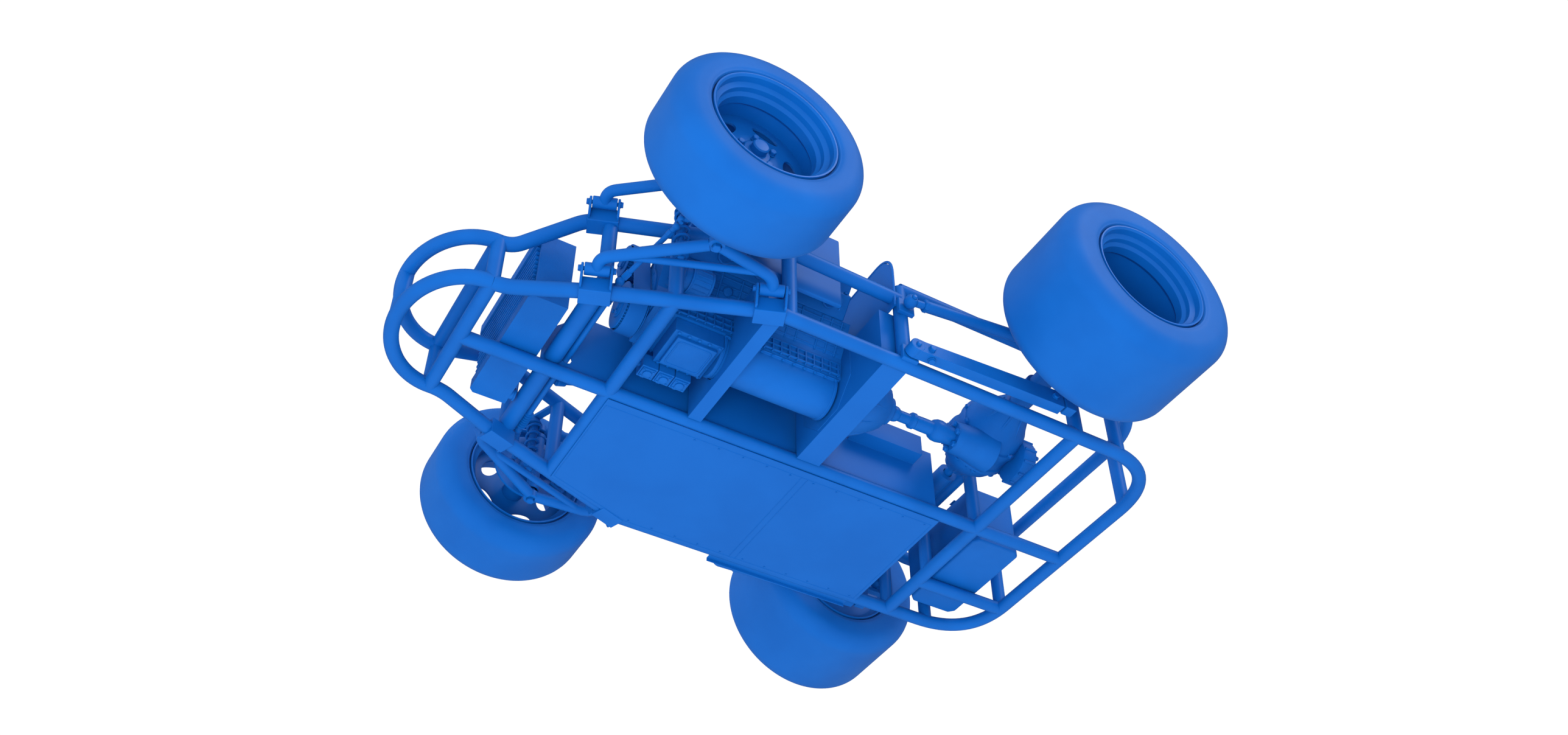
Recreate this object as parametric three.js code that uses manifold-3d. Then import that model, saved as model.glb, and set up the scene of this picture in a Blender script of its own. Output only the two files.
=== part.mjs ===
// Offset racing chassis: welded tube frame, V8 engine on the left of the centre rail, driver's floor on
// the right, double-wishbone front corners and a quick-change live rear axle on a torque tube.
// Millimetres. +X forward, +Y left, +Z up, origin on the ground under the middle of the chassis.
import * as THREE from 'three';
import { mergeVertices } from 'three/addons/utils/BufferGeometryUtils.js';
import Module from 'manifold-3d';

const wasm = await Module();
wasm.setup();

// ---- driving dimensions ---------------------------------------------------------------------------
const GAP = 0.4;                  // between pieces that touch
const INSIDE = 12;                // a cross tube's end, short of the other tube's centre line
const WHEELBASE = 1350;
const FRONT_AXLE_X = 538;
const REAR_AXLE_X = FRONT_AXLE_X - WHEELBASE;
const HALF_WIDTH = 578;           // centre line of the long side rails
const TUBE_R = 24;                // frame tubes
const LOWER_Z = 96;               // centre line of the lower rails
const SIDES = 8;                  // facets round a tube

const NOSE_HALF = 262;            // nose loop, half width and depth
const NOSE_DEPTH = 200;
const BRACKET_HALF = 380;         // front arm brackets, half spacing
const ARM_SPREAD = 248;           // arm brackets before and behind the front axle
const UPPER_NOSE_Z = 275;         // upper rails, from front to back
const UPPER_FRONT_Z = 415;
const UPPER_MID_Z = 400;
const UPPER_PLATE_Z = 389;
const KICK_Z = 440;               // rear side rails where they clear the axle
const UPPER_REAR_Z = 370;
const CORNER_R = 240;             // rear bumper corners
const NOSE_STEPS = 12;

const FRONT_TYRE_R = 322.5;
const FRONT_TYRE_W = 270;
const REAR_TYRE_R = 339;
const REAR_TYRE_W = 390;
const RIM_R = 207;                // flange radius, all four
const SHOULDER_R = 62;
const KINGPIN_OUT = 112;          // steering axis outside the side rails
const SCRUB = 92;                 // steering axis to the inner face of the front tyre
const REAR_TYRE_OUT = 158;        // side rail to the inner face of the rear tyre

const PIVOT_OUT = 52;             // wishbone pivots, outside and above their rail
const PIVOT_UP = 40;
const ARM_R = 19;
const BUSH_R = 20;
const BUSH_LENGTH = 78;
const BOLT_R = 7;
const BOLT_PLAY = 1;              // round bolts, pins and spindles in their bores
const BALL_UP = 14;               // ball joints above the wishbone pivots
const KINGPIN_R = 13;
const SPINDLE_R = 14;

const ENGINE_Y = 228;             // drive line, left of the centre rail
const CRANK_Z = 250;
const ENGINE_FRONT_X = 560;
const REAR_PLATE_X = -201;
const BELL_LENGTH = 165;
const FRONT_CROSS_R = 30;         // large cross tube, lying on the centre bar
const FRONT_CROSS_Z = LOWER_Z + TUBE_R + FRONT_CROSS_R - 2;
const RACK_X = 715;
const RACK_Z = 163;
const RACK_R = 11;
const ARM_PLAY = 8;               // tie rod end to steering arm
const TRAIL_OUT = 62;             // trailing arms outside the side rails
const TRAIL_W = 44;
const TRAIL_H = 66;
const TRAIL_PLAY = 12;            // trailing arm end to axle bracket
const DAMPER_R = 14;
const ROD_R = 7;
const SPRING_R = 27;
const SPRING_WIRE = 5;

// ---- stations worked out from them ----------------------------------------------------------------
const NOSE_X = FRONT_AXLE_X + 531;
const FRONT_BRACKET_X = FRONT_AXLE_X + ARM_SPREAD;
const REAR_BRACKET_X = FRONT_AXLE_X - ARM_SPREAD;
const CROSS_X = FRONT_BRACKET_X - 24;
const DASH_X = FRONT_AXLE_X + 21;
const MID_X = FRONT_AXLE_X - 316;
const TAIL_X = REAR_AXLE_X - 79;
const BUMPER_X = TAIL_X - 378;
const LOOP_X = BUMPER_X + CORNER_R + 20;
const KINGPIN_Y = HALF_WIDTH + KINGPIN_OUT;
const FRONT_WHEEL_Y = KINGPIN_Y + SCRUB + FRONT_TYRE_W / 2;
const REAR_WHEEL_Y = HALF_WIDTH + REAR_TYRE_OUT + REAR_TYRE_W / 2;
const FRONT_Z = FRONT_TYRE_R;
const REAR_Z = REAR_TYRE_R;
const BELL_END_X = REAR_PLATE_X - BELL_LENGTH;
const TORQUE_BALL_X = BELL_END_X - 34;

const V = (x, y, z) => new THREE.Vector3(x, y, z);
const car = new THREE.Group();

// ---- solids: closed meshes, joined and cut --------------------------------------------------------
function solid(geometry) {
  const bare = geometry.clone();
  for (const name of Object.keys(bare.attributes)) if (name !== 'position') bare.deleteAttribute(name);
  const merged = mergeVertices(bare, 1e-3);
  const vertProperties = new Float32Array(merged.attributes.position.array);
  const triVerts = new Uint32Array(merged.index.array).filter((v, i, all) => {
    const t = all.subarray(i - i % 3, i - i % 3 + 3);
    return t[0] !== t[1] && t[1] !== t[2] && t[2] !== t[0];
  });
  const part = new wasm.Manifold(new wasm.Mesh({ numProp: 3, vertProperties, triVerts }));
  if (part.volume() > 0) return part;
  return new wasm.Manifold(new wasm.Mesh({ numProp: 3, vertProperties, triVerts: triVerts.reverse() }));
}

function join(...parts) {
  return parts.flat().reduce((a, b) => a.add(b));
}

function cut(part, ...tools) {
  return tools.flat().reduce((a, b) => a.subtract(b), part);
}

function geometryOf(part) {
  const mesh = part.getMesh();
  const geometry = new THREE.BufferGeometry();
  geometry.setAttribute('position', new THREE.BufferAttribute(new Float32Array(mesh.vertProperties), 3));
  geometry.setIndex(new THREE.BufferAttribute(new Uint32Array(mesh.triVerts), 1));
  geometry.computeVertexNormals();
  return geometry;
}

const satin = { color: 0x0b70d8, roughness: 0.45, metalness: 0.1 };

function piece(name, ...parts) {
  const material = new THREE.MeshStandardMaterial(satin);
  const mesh = new THREE.Mesh(geometryOf(join(...parts)), material);
  mesh.name = name;
  car.add(mesh);
  return mesh;
}

function box(x0, x1, y0, y1, z0, z1) {
  const geometry = new THREE.BoxGeometry(x1 - x0, y1 - y0, z1 - z0);
  return solid(geometry.translate((x0 + x1) / 2, (y0 + y1) / 2, (z0 + z1) / 2));
}

// Straight round bar from p to q; r2 is the radius at q where it tapers.
function bar(p, q, r, r2 = r, sides = SIDES) {
  const along = q.clone().sub(p);
  const geometry = new THREE.CylinderGeometry(r2, r, along.length(), sides);
  geometry.applyQuaternion(new THREE.Quaternion().setFromUnitVectors(V(0, 1, 0), along.clone().normalize()));
  return solid(geometry.translate(...p.clone().add(q).multiplyScalar(0.5).toArray()));
}

function ball(p, r, sides = SIDES) {
  return solid(new THREE.SphereGeometry(r, sides, sides / 2).translate(p.x, p.y, p.z));
}

// Points along a polyline with each corner rounded back by the given length.
function rounded(points, back, steps = 3) {
  const path = [points[0]];
  for (let i = 1; i < points.length - 1; i++) {
    const a = points[i].clone().add(points[i - 1].clone().sub(points[i]).setLength(back));
    const b = points[i].clone().add(points[i + 1].clone().sub(points[i]).setLength(back));
    path.push(...new THREE.QuadraticBezierCurve3(a, points[i], b).getPoints(steps));
  }
  return [...path, points[points.length - 1]];
}

// Path that an extrusion follows, with one step from each point to the next.
class Steps extends THREE.Curve {
  constructor(points) {
    super();
    this.points = points;
    this.last = points.length - 1;
  }

  getPointAt(u, target = new THREE.Vector3()) {
    return target.copy(this.points[Math.round(u * this.last)]);
  }

  getTangentAt(u, target = new THREE.Vector3()) {
    const i = Math.round(u * this.last);
    const direction = (k) => this.points[k + 1].clone().sub(this.points[k]).normalize();
    return target.copy(direction(Math.max(i - 1, 0)).add(direction(Math.min(i, this.last - 1))).normalize());
  }
}

// Round bar along a list of points.
function tube(points, r, sides = SIDES) {
  const section = new THREE.Shape(Array.from({ length: sides }, (_, i) => {
    const angle = (i / sides) * Math.PI * 2;
    return new THREE.Vector2(r * Math.cos(angle), r * Math.sin(angle));
  }));
  const extrudePath = new Steps(points);
  return solid(new THREE.ExtrudeGeometry(section, { extrudePath, steps: points.length - 1 }));
}

// Round body turned about the Y axis: profile of [radius, y] pairs that starts and ends on the axis or closes.
function turned(profile, x, y, z, sides, side = 1) {
  const points = profile.map(([r, h]) => new THREE.Vector2(r, h));
  const geometry = new THREE.LatheGeometry(points, sides);
  if (side < 0) geometry.rotateZ(Math.PI);
  return solid(geometry.translate(x, y, z));
}

// Flat outline in the YZ plane, extruded from x0 to x1.
function slab(outline, x0, x1) {
  const shape = new THREE.Shape(outline.map(([y, z]) => new THREE.Vector2(y, z)));
  const geometry = new THREE.ExtrudeGeometry(shape, { depth: x1 - x0, bevelEnabled: false });
  geometry.applyMatrix4(new THREE.Matrix4().makeBasis(V(0, 1, 0), V(0, 0, 1), V(1, 0, 0)));
  return solid(geometry.translate(x0, 0, 0));
}

// Outline in the XZ plane, extruded from y0 to y1.
function wall(outline, y0, y1) {
  const shape = new THREE.Shape(outline.map(([x, z]) => new THREE.Vector2(x, z)));
  const geometry = new THREE.ExtrudeGeometry(shape, { depth: y1 - y0, bevelEnabled: false });
  geometry.applyMatrix4(new THREE.Matrix4().makeBasis(V(1, 0, 0), V(0, 0, 1), V(0, -1, 0)));
  return solid(geometry.translate(0, y1, 0));
}

// Outline in the XY plane, extruded from z0 to z1.
function sheet(outline, z0, z1) {
  const shape = new THREE.Shape(outline.map(([x, y]) => new THREE.Vector2(x, y)));
  return solid(new THREE.ExtrudeGeometry(shape, { depth: z1 - z0, bevelEnabled: false }).translate(0, 0, z0));
}

// ---- frame: two nose loops, side rails and rear loops, joined by cross tubes and posts ---------------
function nosePath(z) {
  return Array.from({ length: NOSE_STEPS + 1 }, (_, i) => {
    const angle = (i / NOSE_STEPS - 0.5) * Math.PI;
    return V(NOSE_X + NOSE_DEPTH * Math.cos(angle), NOSE_HALF * Math.sin(angle), z);
  });
}

function railPath(side, upper) {
  const z = upper ? [UPPER_NOSE_Z, UPPER_FRONT_Z, UPPER_MID_Z, UPPER_PLATE_Z] : Array(4).fill(LOWER_Z);
  const ahead = upper ? 44 : 0;
  const slope = (BRACKET_HALF - NOSE_HALF) / (NOSE_X - FRONT_BRACKET_X);
  return rounded([
    V(NOSE_X - GAP, side * NOSE_HALF, z[0]),
    V(NOSE_X - 40, side * NOSE_HALF, z[0]),
    V(FRONT_BRACKET_X + ahead, side * (BRACKET_HALF - ahead * slope), z[1]),
    V(REAR_BRACKET_X - 24, side * HALF_WIDTH, z[2]),
    V(upper ? REAR_PLATE_X : LOOP_X + GAP, side * HALF_WIDTH, z[3]),
  ], 38, 2);
}

// Rear side rail: over the axle, then down to the tail loop.
function kickPath(side) {
  return rounded([
    V(REAR_PLATE_X, side * HALF_WIDTH, KICK_Z),
    V(REAR_AXLE_X - 48, side * HALF_WIDTH, KICK_Z),
    V(LOOP_X + 40, side * HALF_WIDTH, UPPER_REAR_Z),
    V(LOOP_X + GAP, side * HALF_WIDTH, UPPER_REAR_Z),
  ], 38, 2);
}

function rearPath(z) {
  return rounded([
    V(LOOP_X, -HALF_WIDTH, z),
    V(BUMPER_X, -HALF_WIDTH, z),
    V(BUMPER_X, HALF_WIDTH, z),
    V(LOOP_X, HALF_WIDTH, z),
  ], CORNER_R, 5);
}

function railSolids(grow) {
  return {
    noseLower: tube(nosePath(LOWER_Z), TUBE_R + grow),
    noseUpper: tube(nosePath(UPPER_NOSE_Z), TUBE_R + grow),
    lowerLeft: tube(railPath(1, false), TUBE_R + grow),
    lowerRight: tube(railPath(-1, false), TUBE_R + grow),
    upperLeft: tube(railPath(1, true), TUBE_R + grow),
    upperRight: tube(railPath(-1, true), TUBE_R + grow),
    rearLower: tube(rearPath(LOWER_Z), TUBE_R + grow),
    rearUpper: tube(rearPath(UPPER_REAR_Z), TUBE_R + grow),
    kickLeft: tube(kickPath(1), TUBE_R + grow),
    kickRight: tube(kickPath(-1), TUBE_R + grow),
  };
}

const rails = railSolids(0);
const railCutters = Object.values(railSolids(GAP));

function centreBar(grow) {
  return bar(V(NOSE_X - INSIDE, 0, LOWER_Z), V(BUMPER_X + INSIDE, 0, LOWER_Z), TUBE_R + grow);
}
const noseCross = (z, grow) => bar(V(NOSE_X, -NOSE_HALF, z), V(NOSE_X, NOSE_HALF, z), TUBE_R + grow);
const noseCrosses = [noseCross(LOWER_Z, 0), noseCross(UPPER_NOSE_Z, 0)];
function crossBar(x, z, half, r) {
  return bar(V(x, INSIDE - half, z), V(x, half - INSIDE, z), r);
}
const lowerCross = (x, grow = 0) => crossBar(x, LOWER_Z, railY(x), TUBE_R + grow);

// Rail half spacing and upper rail height at a station.
function railY(x) {
  if (x > FRONT_BRACKET_X) {
    const t = (x - FRONT_BRACKET_X) / (NOSE_X - FRONT_BRACKET_X);
    return BRACKET_HALF + t * (NOSE_HALF - BRACKET_HALF);
  }
  if (x > REAR_BRACKET_X - 24) {
    const t = (FRONT_BRACKET_X - x) / (FRONT_BRACKET_X - REAR_BRACKET_X + 24);
    return BRACKET_HALF + t * (HALF_WIDTH - BRACKET_HALF);
  }
  return HALF_WIDTH;
}

const STUB_Y = -368;
const crossings = [DASH_X, TAIL_X].map((x) => lowerCross(x));
const stub = bar(V(TAIL_X, STUB_Y, LOWER_Z), V(BUMPER_X + INSIDE, STUB_Y, LOWER_Z), TUBE_R);
const frontCross = crossBar(CROSS_X, FRONT_CROSS_Z, BRACKET_HALF, FRONT_CROSS_R);
const seatCross = bar(V(TAIL_X, INSIDE - HALF_WIDTH, UPPER_REAR_Z), V(TAIL_X, TUBE_R, UPPER_REAR_Z), TUBE_R);

// ---- wishbone brackets: a clamp round the rail with two ears and a pivot bolt -------------------------
const RAIL_ANGLE = Math.atan2(HALF_WIDTH - BRACKET_HALF, FRONT_BRACKET_X - REAR_BRACKET_X + 24);
const ALONG = [Math.cos(RAIL_ANGLE), -Math.sin(RAIL_ANGLE)];   // forward along the left rail
const OUT = [Math.sin(RAIL_ANGLE), Math.cos(RAIL_ANGLE)];      // square to it, outward
const LOWER_PIVOT_Z = LOWER_Z + PIVOT_UP;
const UPPER_PIVOT_Z = UPPER_MID_Z + PIVOT_UP + 4;
const BRACKET_HALF_LENGTH = 49;
const EAR = 8;
const BLOCK = TUBE_R + 6;

// Point s forward along and u outward from the rail at (x, y), on the given side.
function offRail(side, x, s, u, z) {
  return V(x + s * ALONG[0] + u * OUT[0], side * (railY(x) + s * ALONG[1] + u * OUT[1]), z);
}

// Box in the rail's own directions.
function railBox(side, x, s0, s1, u0, u1, z0, z1) {
  const geometry = new THREE.BoxGeometry(s1 - s0, u1 - u0, z1 - z0);
  geometry.translate((s0 + s1) / 2, side * (u0 + u1) / 2, (z0 + z1) / 2);
  geometry.rotateZ(-side * RAIL_ANGLE);
  return solid(geometry.translate(x, side * railY(x), 0));
}

function bracketBlock(side, x, railZ, grow = 0) {
  const half = BRACKET_HALF_LENGTH + grow;
  return railBox(side, x, -half, half, -BLOCK - grow, BLOCK + grow, railZ - BLOCK - grow, railZ + BLOCK + grow);
}

function armBracket(side, x, railZ, pivotZ) {
  const ears = [-1, 1].map((end) => {
    const s = end * BRACKET_HALF_LENGTH;
    const inner = s - end * EAR;
    return railBox(side, x, Math.min(s, inner), Math.max(s, inner), 4, PIVOT_OUT + 17, railZ - 20, pivotZ + 17);
  });
  return join(bracketBlock(side, x, railZ), ears, pivotBolt(side, x, pivotZ));
}

function pivotBolt(side, x, pivotZ) {
  const onPivot = (s) => offRail(side, x, s, PIVOT_OUT, pivotZ);
  const face = BRACKET_HALF_LENGTH - 1;
  return join(
    bar(onPivot(-face - 2), onPivot(face + 2), BOLT_R, BOLT_R, 6),
    bar(onPivot(face), onPivot(face + 8), 12, 12, 6),
    bar(onPivot(-face), onPivot(-face - 8), 12, 12, 6),
  );
}

const upperRailZ = (x) => {
  const front = FRONT_BRACKET_X + 44;
  const t = (front - x) / (front - REAR_BRACKET_X + 24);
  return UPPER_FRONT_Z + t * (UPPER_MID_Z - UPPER_FRONT_Z);
};
const corners = [1, -1].flatMap((side) => [FRONT_BRACKET_X, REAR_BRACKET_X].map((x) => [side, x]));
const bracketsOf = (side) => [FRONT_BRACKET_X, REAR_BRACKET_X].flatMap((x) => [
  armBracket(side, x, LOWER_Z, LOWER_PIVOT_Z), armBracket(side, x, upperRailZ(x), UPPER_PIVOT_Z)]);
const bracketCutters = corners.flatMap(([side, x]) => [
  bracketBlock(side, x, LOWER_Z, GAP), bracketBlock(side, x, upperRailZ(x), GAP)]);

// ---- cross tubes and posts ------------------------------------------------------------------------
const TAIL_POST_X = BUMPER_X + 201;
const postStations = [CROSS_X, DASH_X, MID_X, REAR_PLATE_X, TAIL_X];
const frontCrossCutter = bar(
  V(CROSS_X, -BRACKET_HALF, FRONT_CROSS_Z),
  V(CROSS_X, BRACKET_HALF, FRONT_CROSS_Z),
  FRONT_CROSS_R + GAP,
);
const grownCrosses = [
  noseCross(LOWER_Z, GAP),
  noseCross(UPPER_NOSE_Z, GAP),
  lowerCross(DASH_X, GAP),
  lowerCross(TAIL_X, GAP),
  bar(V(TAIL_X, -HALF_WIDTH, UPPER_REAR_Z), V(TAIL_X, HALF_WIDTH, UPPER_REAR_Z), TUBE_R + GAP),
  bar(V(DASH_X, -HALF_WIDTH, UPPER_MID_Z + 8), V(DASH_X, HALF_WIDTH, UPPER_MID_Z + 8), TUBE_R + GAP),
  frontCrossCutter,
];
const LOWER_TRAIL = [118, 145];      // heights of the trailing arms at front and back
const UPPER_TRAIL = [330, 405];
const PIN_R = 9;
const trailFrontX = REAR_PLATE_X;
const trailEndX = REAR_AXLE_X + 20 + TRAIL_PLAY;
const lugY = HALF_WIDTH + TRAIL_OUT;
function trailPin(side, z) {
  const inner = side * (HALF_WIDTH + TUBE_R - 3);
  const plate = side * (HALF_WIDTH + TUBE_R + 14);
  const end = side * (lugY + TRAIL_W / 2 + 8);
  const y = [inner, plate].sort((a, b) => a - b);
  return join(box(trailFrontX - 30, trailFrontX + 30, ...y, z - 30, z + 30),
    bar(V(trailFrontX, inner, z), V(trailFrontX, end, z), PIN_R),
    bar(V(trailFrontX, side * (lugY + TRAIL_W / 2 + 1), z), V(trailFrontX, end, z), 15, 15, 6));
}
const post = (x, y, top) => bar(V(x, y, LOWER_Z), V(x, y, top), TUBE_R);
const bumperPostY = 365;
const postTop = (x) => (x > REAR_PLATE_X ? UPPER_MID_Z : x === REAR_PLATE_X ? KICK_Z : KICK_Z - 30);
const sidePosts = (side) => postStations.map((x) => post(x, side * railY(x), postTop(x)));
const nosePosts = [post(NOSE_X + NOSE_DEPTH, 0, UPPER_NOSE_Z),
  ...[1, -1].map((side) => post(NOSE_X, side * NOSE_HALF, UPPER_NOSE_Z))];
const sideRailCutters = railCutters.slice(2, 6);
piece('frame_nose', cut(join(rails.noseLower, rails.noseUpper, noseCrosses, nosePosts), sideRailCutters));
const trailPins = (side) => [trailPin(side, LOWER_TRAIL[0]), trailPin(side, UPPER_TRAIL[0])];
const leftRails = [rails.lowerLeft, rails.upperLeft, rails.kickLeft];
const rightRails = [rails.lowerRight, rails.upperRight, rails.kickRight];
piece('frame_side_left', leftRails, sidePosts(1), bracketsOf(1), trailPins(1));
piece('frame_side_right', rightRails, sidePosts(-1), bracketsOf(-1), trailPins(-1));
const tailPosts = [1, -1].flatMap((side) => [
  post(BUMPER_X, side * bumperPostY, UPPER_REAR_Z),
  post(TAIL_POST_X, side * HALF_WIDTH, UPPER_REAR_Z),
]);
piece('frame_tail', rails.rearLower, rails.rearUpper, tailPosts);
const floorFrame = join(centreBar(0), frontCross, crossings, stub, seatCross, post(TAIL_X, 0, UPPER_REAR_Z),
  post(TAIL_X, STUB_Y + 60, UPPER_REAR_Z));
const sidePostCutters = [1, -1].flatMap((side) => postStations.map((x) => (
  bar(V(x, side * railY(x), LOWER_Z), V(x, side * railY(x), KICK_Z), TUBE_R + GAP))));
const bumperPostCutter = bar(V(BUMPER_X, STUB_Y, 0), V(BUMPER_X, STUB_Y, UPPER_REAR_Z), TUBE_R + 4);
piece('frame_floor', cut(
  floorFrame,
  railCutters,
  bracketCutters,
  noseCross(LOWER_Z, GAP),
  sidePostCutters,
  bumperPostCutter,
));

// ---- floor, tunnel wall, cowl, side panel -----------------------------------------------------------
const FLOOR_T = 3;
const FLOOR_Z = LOWER_Z + TUBE_R + GAP;
const floorOutline = [[DASH_X - 4, -TUBE_R - 2], [DASH_X - 4, -railY(DASH_X) + 6],
  [REAR_BRACKET_X - 60, -HALF_WIDTH + 8], [TAIL_X + 156, -HALF_WIDTH + 8], [TAIL_X + 156, -TUBE_R - 2]];
const underFloor = LOWER_Z - TUBE_R - GAP - FLOOR_T;
const floorPan = sheet(floorOutline, underFloor, underFloor + FLOOR_T);
piece('floor_pan', cut(floorPan, bracketCutters));

const TUNNEL_TOP = 372;
const TUNNEL_FRONT_X = NOSE_X - 267;
const tunnelBase = LOWER_Z + TUBE_R + GAP;
const tunnelOutline = [
  [TAIL_X + 171, tunnelBase],
  [TUNNEL_FRONT_X, tunnelBase],
  [TUNNEL_FRONT_X, TUNNEL_TOP - 120],
  [TUNNEL_FRONT_X - 120, TUNNEL_TOP],
  [TAIL_X + 171, TUNNEL_TOP],
];
const tunnelCutters = [
  lowerCross(DASH_X, GAP),
  frontCrossCutter,
  bar(V(RACK_X, -20, RACK_Z), V(RACK_X, 20, RACK_Z), RACK_R + 8),
];
const tunnelLedge = box(BELL_END_X - 270, BELL_END_X + 10, 2, 62, 285, 288);
const ledgeFace = box(BELL_END_X - 270, BELL_END_X + 10, 59, 62, 285, TUNNEL_TOP);
piece('tunnel_wall', cut(join(wall(tunnelOutline, -2, 2), tunnelLedge, ledgeFace), tunnelCutters));

function cowlOutline() {
  const [y0, y1, z0, z1, r] = [14, HALF_WIDTH + 18, 336, 590, 95];
  const arc = (cy, from) => Array.from({ length: 7 }, (_, i) => {
    const angle = from + (i / 6) * Math.PI / 2;
    return [cy + r * Math.cos(angle), z1 - r + r * Math.sin(angle)];
  });
  return [[y0, z0], [y1, z0], ...arc(y1 - r, 0), ...arc(y0 + r, Math.PI / 2)];
}
const COWL_X = REAR_PLATE_X + 29;

piece('side_panel_left', box(-15, 330, HALF_WIDTH - 78, HALF_WIDTH - 60, 320, 640));

// ---- radiator behind the nose -----------------------------------------------------------------------
const RAD_FRONT_X = NOSE_X - 125;
const RAD_DEPTH = 127;
const RAD_HALF = 250;
const RAD_Z = LOWER_Z + TUBE_R + GAP;
const RAD_HEIGHT = 286;
const radBack = RAD_FRONT_X - RAD_DEPTH;
const radChamfer = 14;
const tank = (z0, z1) => sheet([[RAD_FRONT_X, -RAD_HALF + radChamfer], [RAD_FRONT_X, RAD_HALF - radChamfer],
  [RAD_FRONT_X - radChamfer, RAD_HALF], [radBack, RAD_HALF], [radBack, -RAD_HALF],
  [RAD_FRONT_X - radChamfer, -RAD_HALF]], z0, z1);
const radSide = (side) => {
  const y = side * (RAD_HALF - 4);
  return box(radBack, RAD_FRONT_X - radChamfer, y - 4, y + 4, RAD_Z, RAD_Z + RAD_HEIGHT);
};
piece('radiator_tanks', tank(RAD_Z, RAD_Z + 40), tank(RAD_Z + RAD_HEIGHT - 40, RAD_Z + RAD_HEIGHT), radSide(1),
  radSide(-1));
const finCount = 9;
const coreZ = [RAD_Z + 40 + GAP, RAD_Z + RAD_HEIGHT - 40 - GAP];
const finPitch = (coreZ[1] - coreZ[0]) / finCount;
const finSlots = Array.from({ length: finCount - 1 }, (_, i) => {
  const z = coreZ[0] + (i + 1) * finPitch;
  return box(RAD_FRONT_X - 20, RAD_FRONT_X, -RAD_HALF + 20, RAD_HALF - 20, z - 5, z + 5);
});
const coreHalf = RAD_HALF - 8 - GAP;
piece('radiator_core', cut(box(radBack + 10, RAD_FRONT_X - 6, -coreHalf, coreHalf, ...coreZ), finSlots));

// ---- engine: block, heads, covers, manifold, pan, pump, pulleys ---------------------------------------
const BLOCK_X0 = REAR_PLATE_X + 74;
const BLOCK_X1 = ENGINE_FRONT_X;
const PAN_Z = 205;
const PAN_R = 82;
const at = ([y, z]) => [ENGINE_Y + y, z];
const blockHalf = [[92, PAN_Z], [100, 292], [165, 400], [88, 466], [0, 420]];
const mirrored = (half) => [...half.map(at), ...half.slice(0, -1).reverse().map(([y, z]) => at([-y, z]))];
const ALT = V(BLOCK_X1 - 71, ENGINE_Y + 172, 292);
const alternator = bar(V(ALT.x - 75, ALT.y, ALT.z), ALT, 48, 48, 14);
const fan = bar(V(ALT.x - 5, ALT.y, ALT.z), V(ALT.x + 26, ALT.y, ALT.z), 42, 42, 18);
const bracket = box(ALT.x - 60, ALT.x - 40, ENGINE_Y + 90, ALT.y - 30, ALT.z - 20, ALT.z + 10);
piece('engine_block', slab(mirrored(blockHalf), BLOCK_X0, BLOCK_X1), alternator, fan, bracket);

// Bank pieces lie on the deck line of each bank, from a to b along it and up from d0 to d1.
function bank(side, x0, x1, a, b, d0, d1) {
  const deck = [[165, 400], [88, 466]];
  const run = [deck[1][0] - deck[0][0], deck[1][1] - deck[0][1]];
  const length = Math.hypot(...run);
  const u = run.map((v) => v / length);
  const n = [u[1], -u[0]];
  const corner = (s, d) => {
    const y = deck[0][0] + u[0] * s * length + n[0] * d;
    const z = deck[0][1] + u[1] * s * length + n[1] * d;
    return at([side * y, z]);
  };
  return slab([corner(a, d0), corner(b, d0), corner(b, d1), corner(a, d1)], x0, x1);
}
for (const [side, name] of [[1, 'left'], [-1, 'right']]) {
  piece(`cylinder_head_${name}`, bank(side, BLOCK_X0 + 30, BLOCK_X1 - 40, -0.05, 1, GAP, 90),
    bank(side, BLOCK_X0 + 36, BLOCK_X1 - 46, 0.05, 0.9, 89, 140));
}
const plenum = slab([[-46, 470], [46, 470], [40, 560], [-40, 560]].map(at), BLOCK_X0 + 90, BLOCK_X1 - 120);
const stacks = [BLOCK_X0 + 200, BLOCK_X0 + 390].map((x) => bar(V(x, ENGINE_Y, 555), V(x, ENGINE_Y, 610), 38));
piece('intake_manifold', plenum, stacks);

const SUMP_X0 = FRONT_AXLE_X - 232;
const SUMP_X1 = FRONT_AXLE_X - 60;
const halfRound = Array.from({ length: 11 }, (_, i) => {
  const angle = Math.PI + (i / 10) * Math.PI;
  return [ENGINE_Y + PAN_R * Math.cos(angle), PAN_Z - 6 + PAN_R * Math.sin(angle)];
});
const panTop = [[ENGINE_Y + 92, PAN_Z - 6], [ENGINE_Y + 92, PAN_Z - GAP], [ENGINE_Y - 92, PAN_Z - GAP],
  [ENGINE_Y - 92, PAN_Z - 6]];
piece('oil_pan', slab([...halfRound, ...panTop], BLOCK_X0 + 4, SUMP_X0),
  box(SUMP_X0 - 1, SUMP_X1, ENGINE_Y - 83, ENGINE_Y + 83, 148, PAN_Z - GAP),
  box(SUMP_X0 + 16, SUMP_X1 - 16, ENGINE_Y - 66, ENGINE_Y + 66, 132, 149),
  box(SUMP_X0 + 30, SUMP_X1 + 34, ENGINE_Y - 138, ENGINE_Y - 82, 118, 172));

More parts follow.
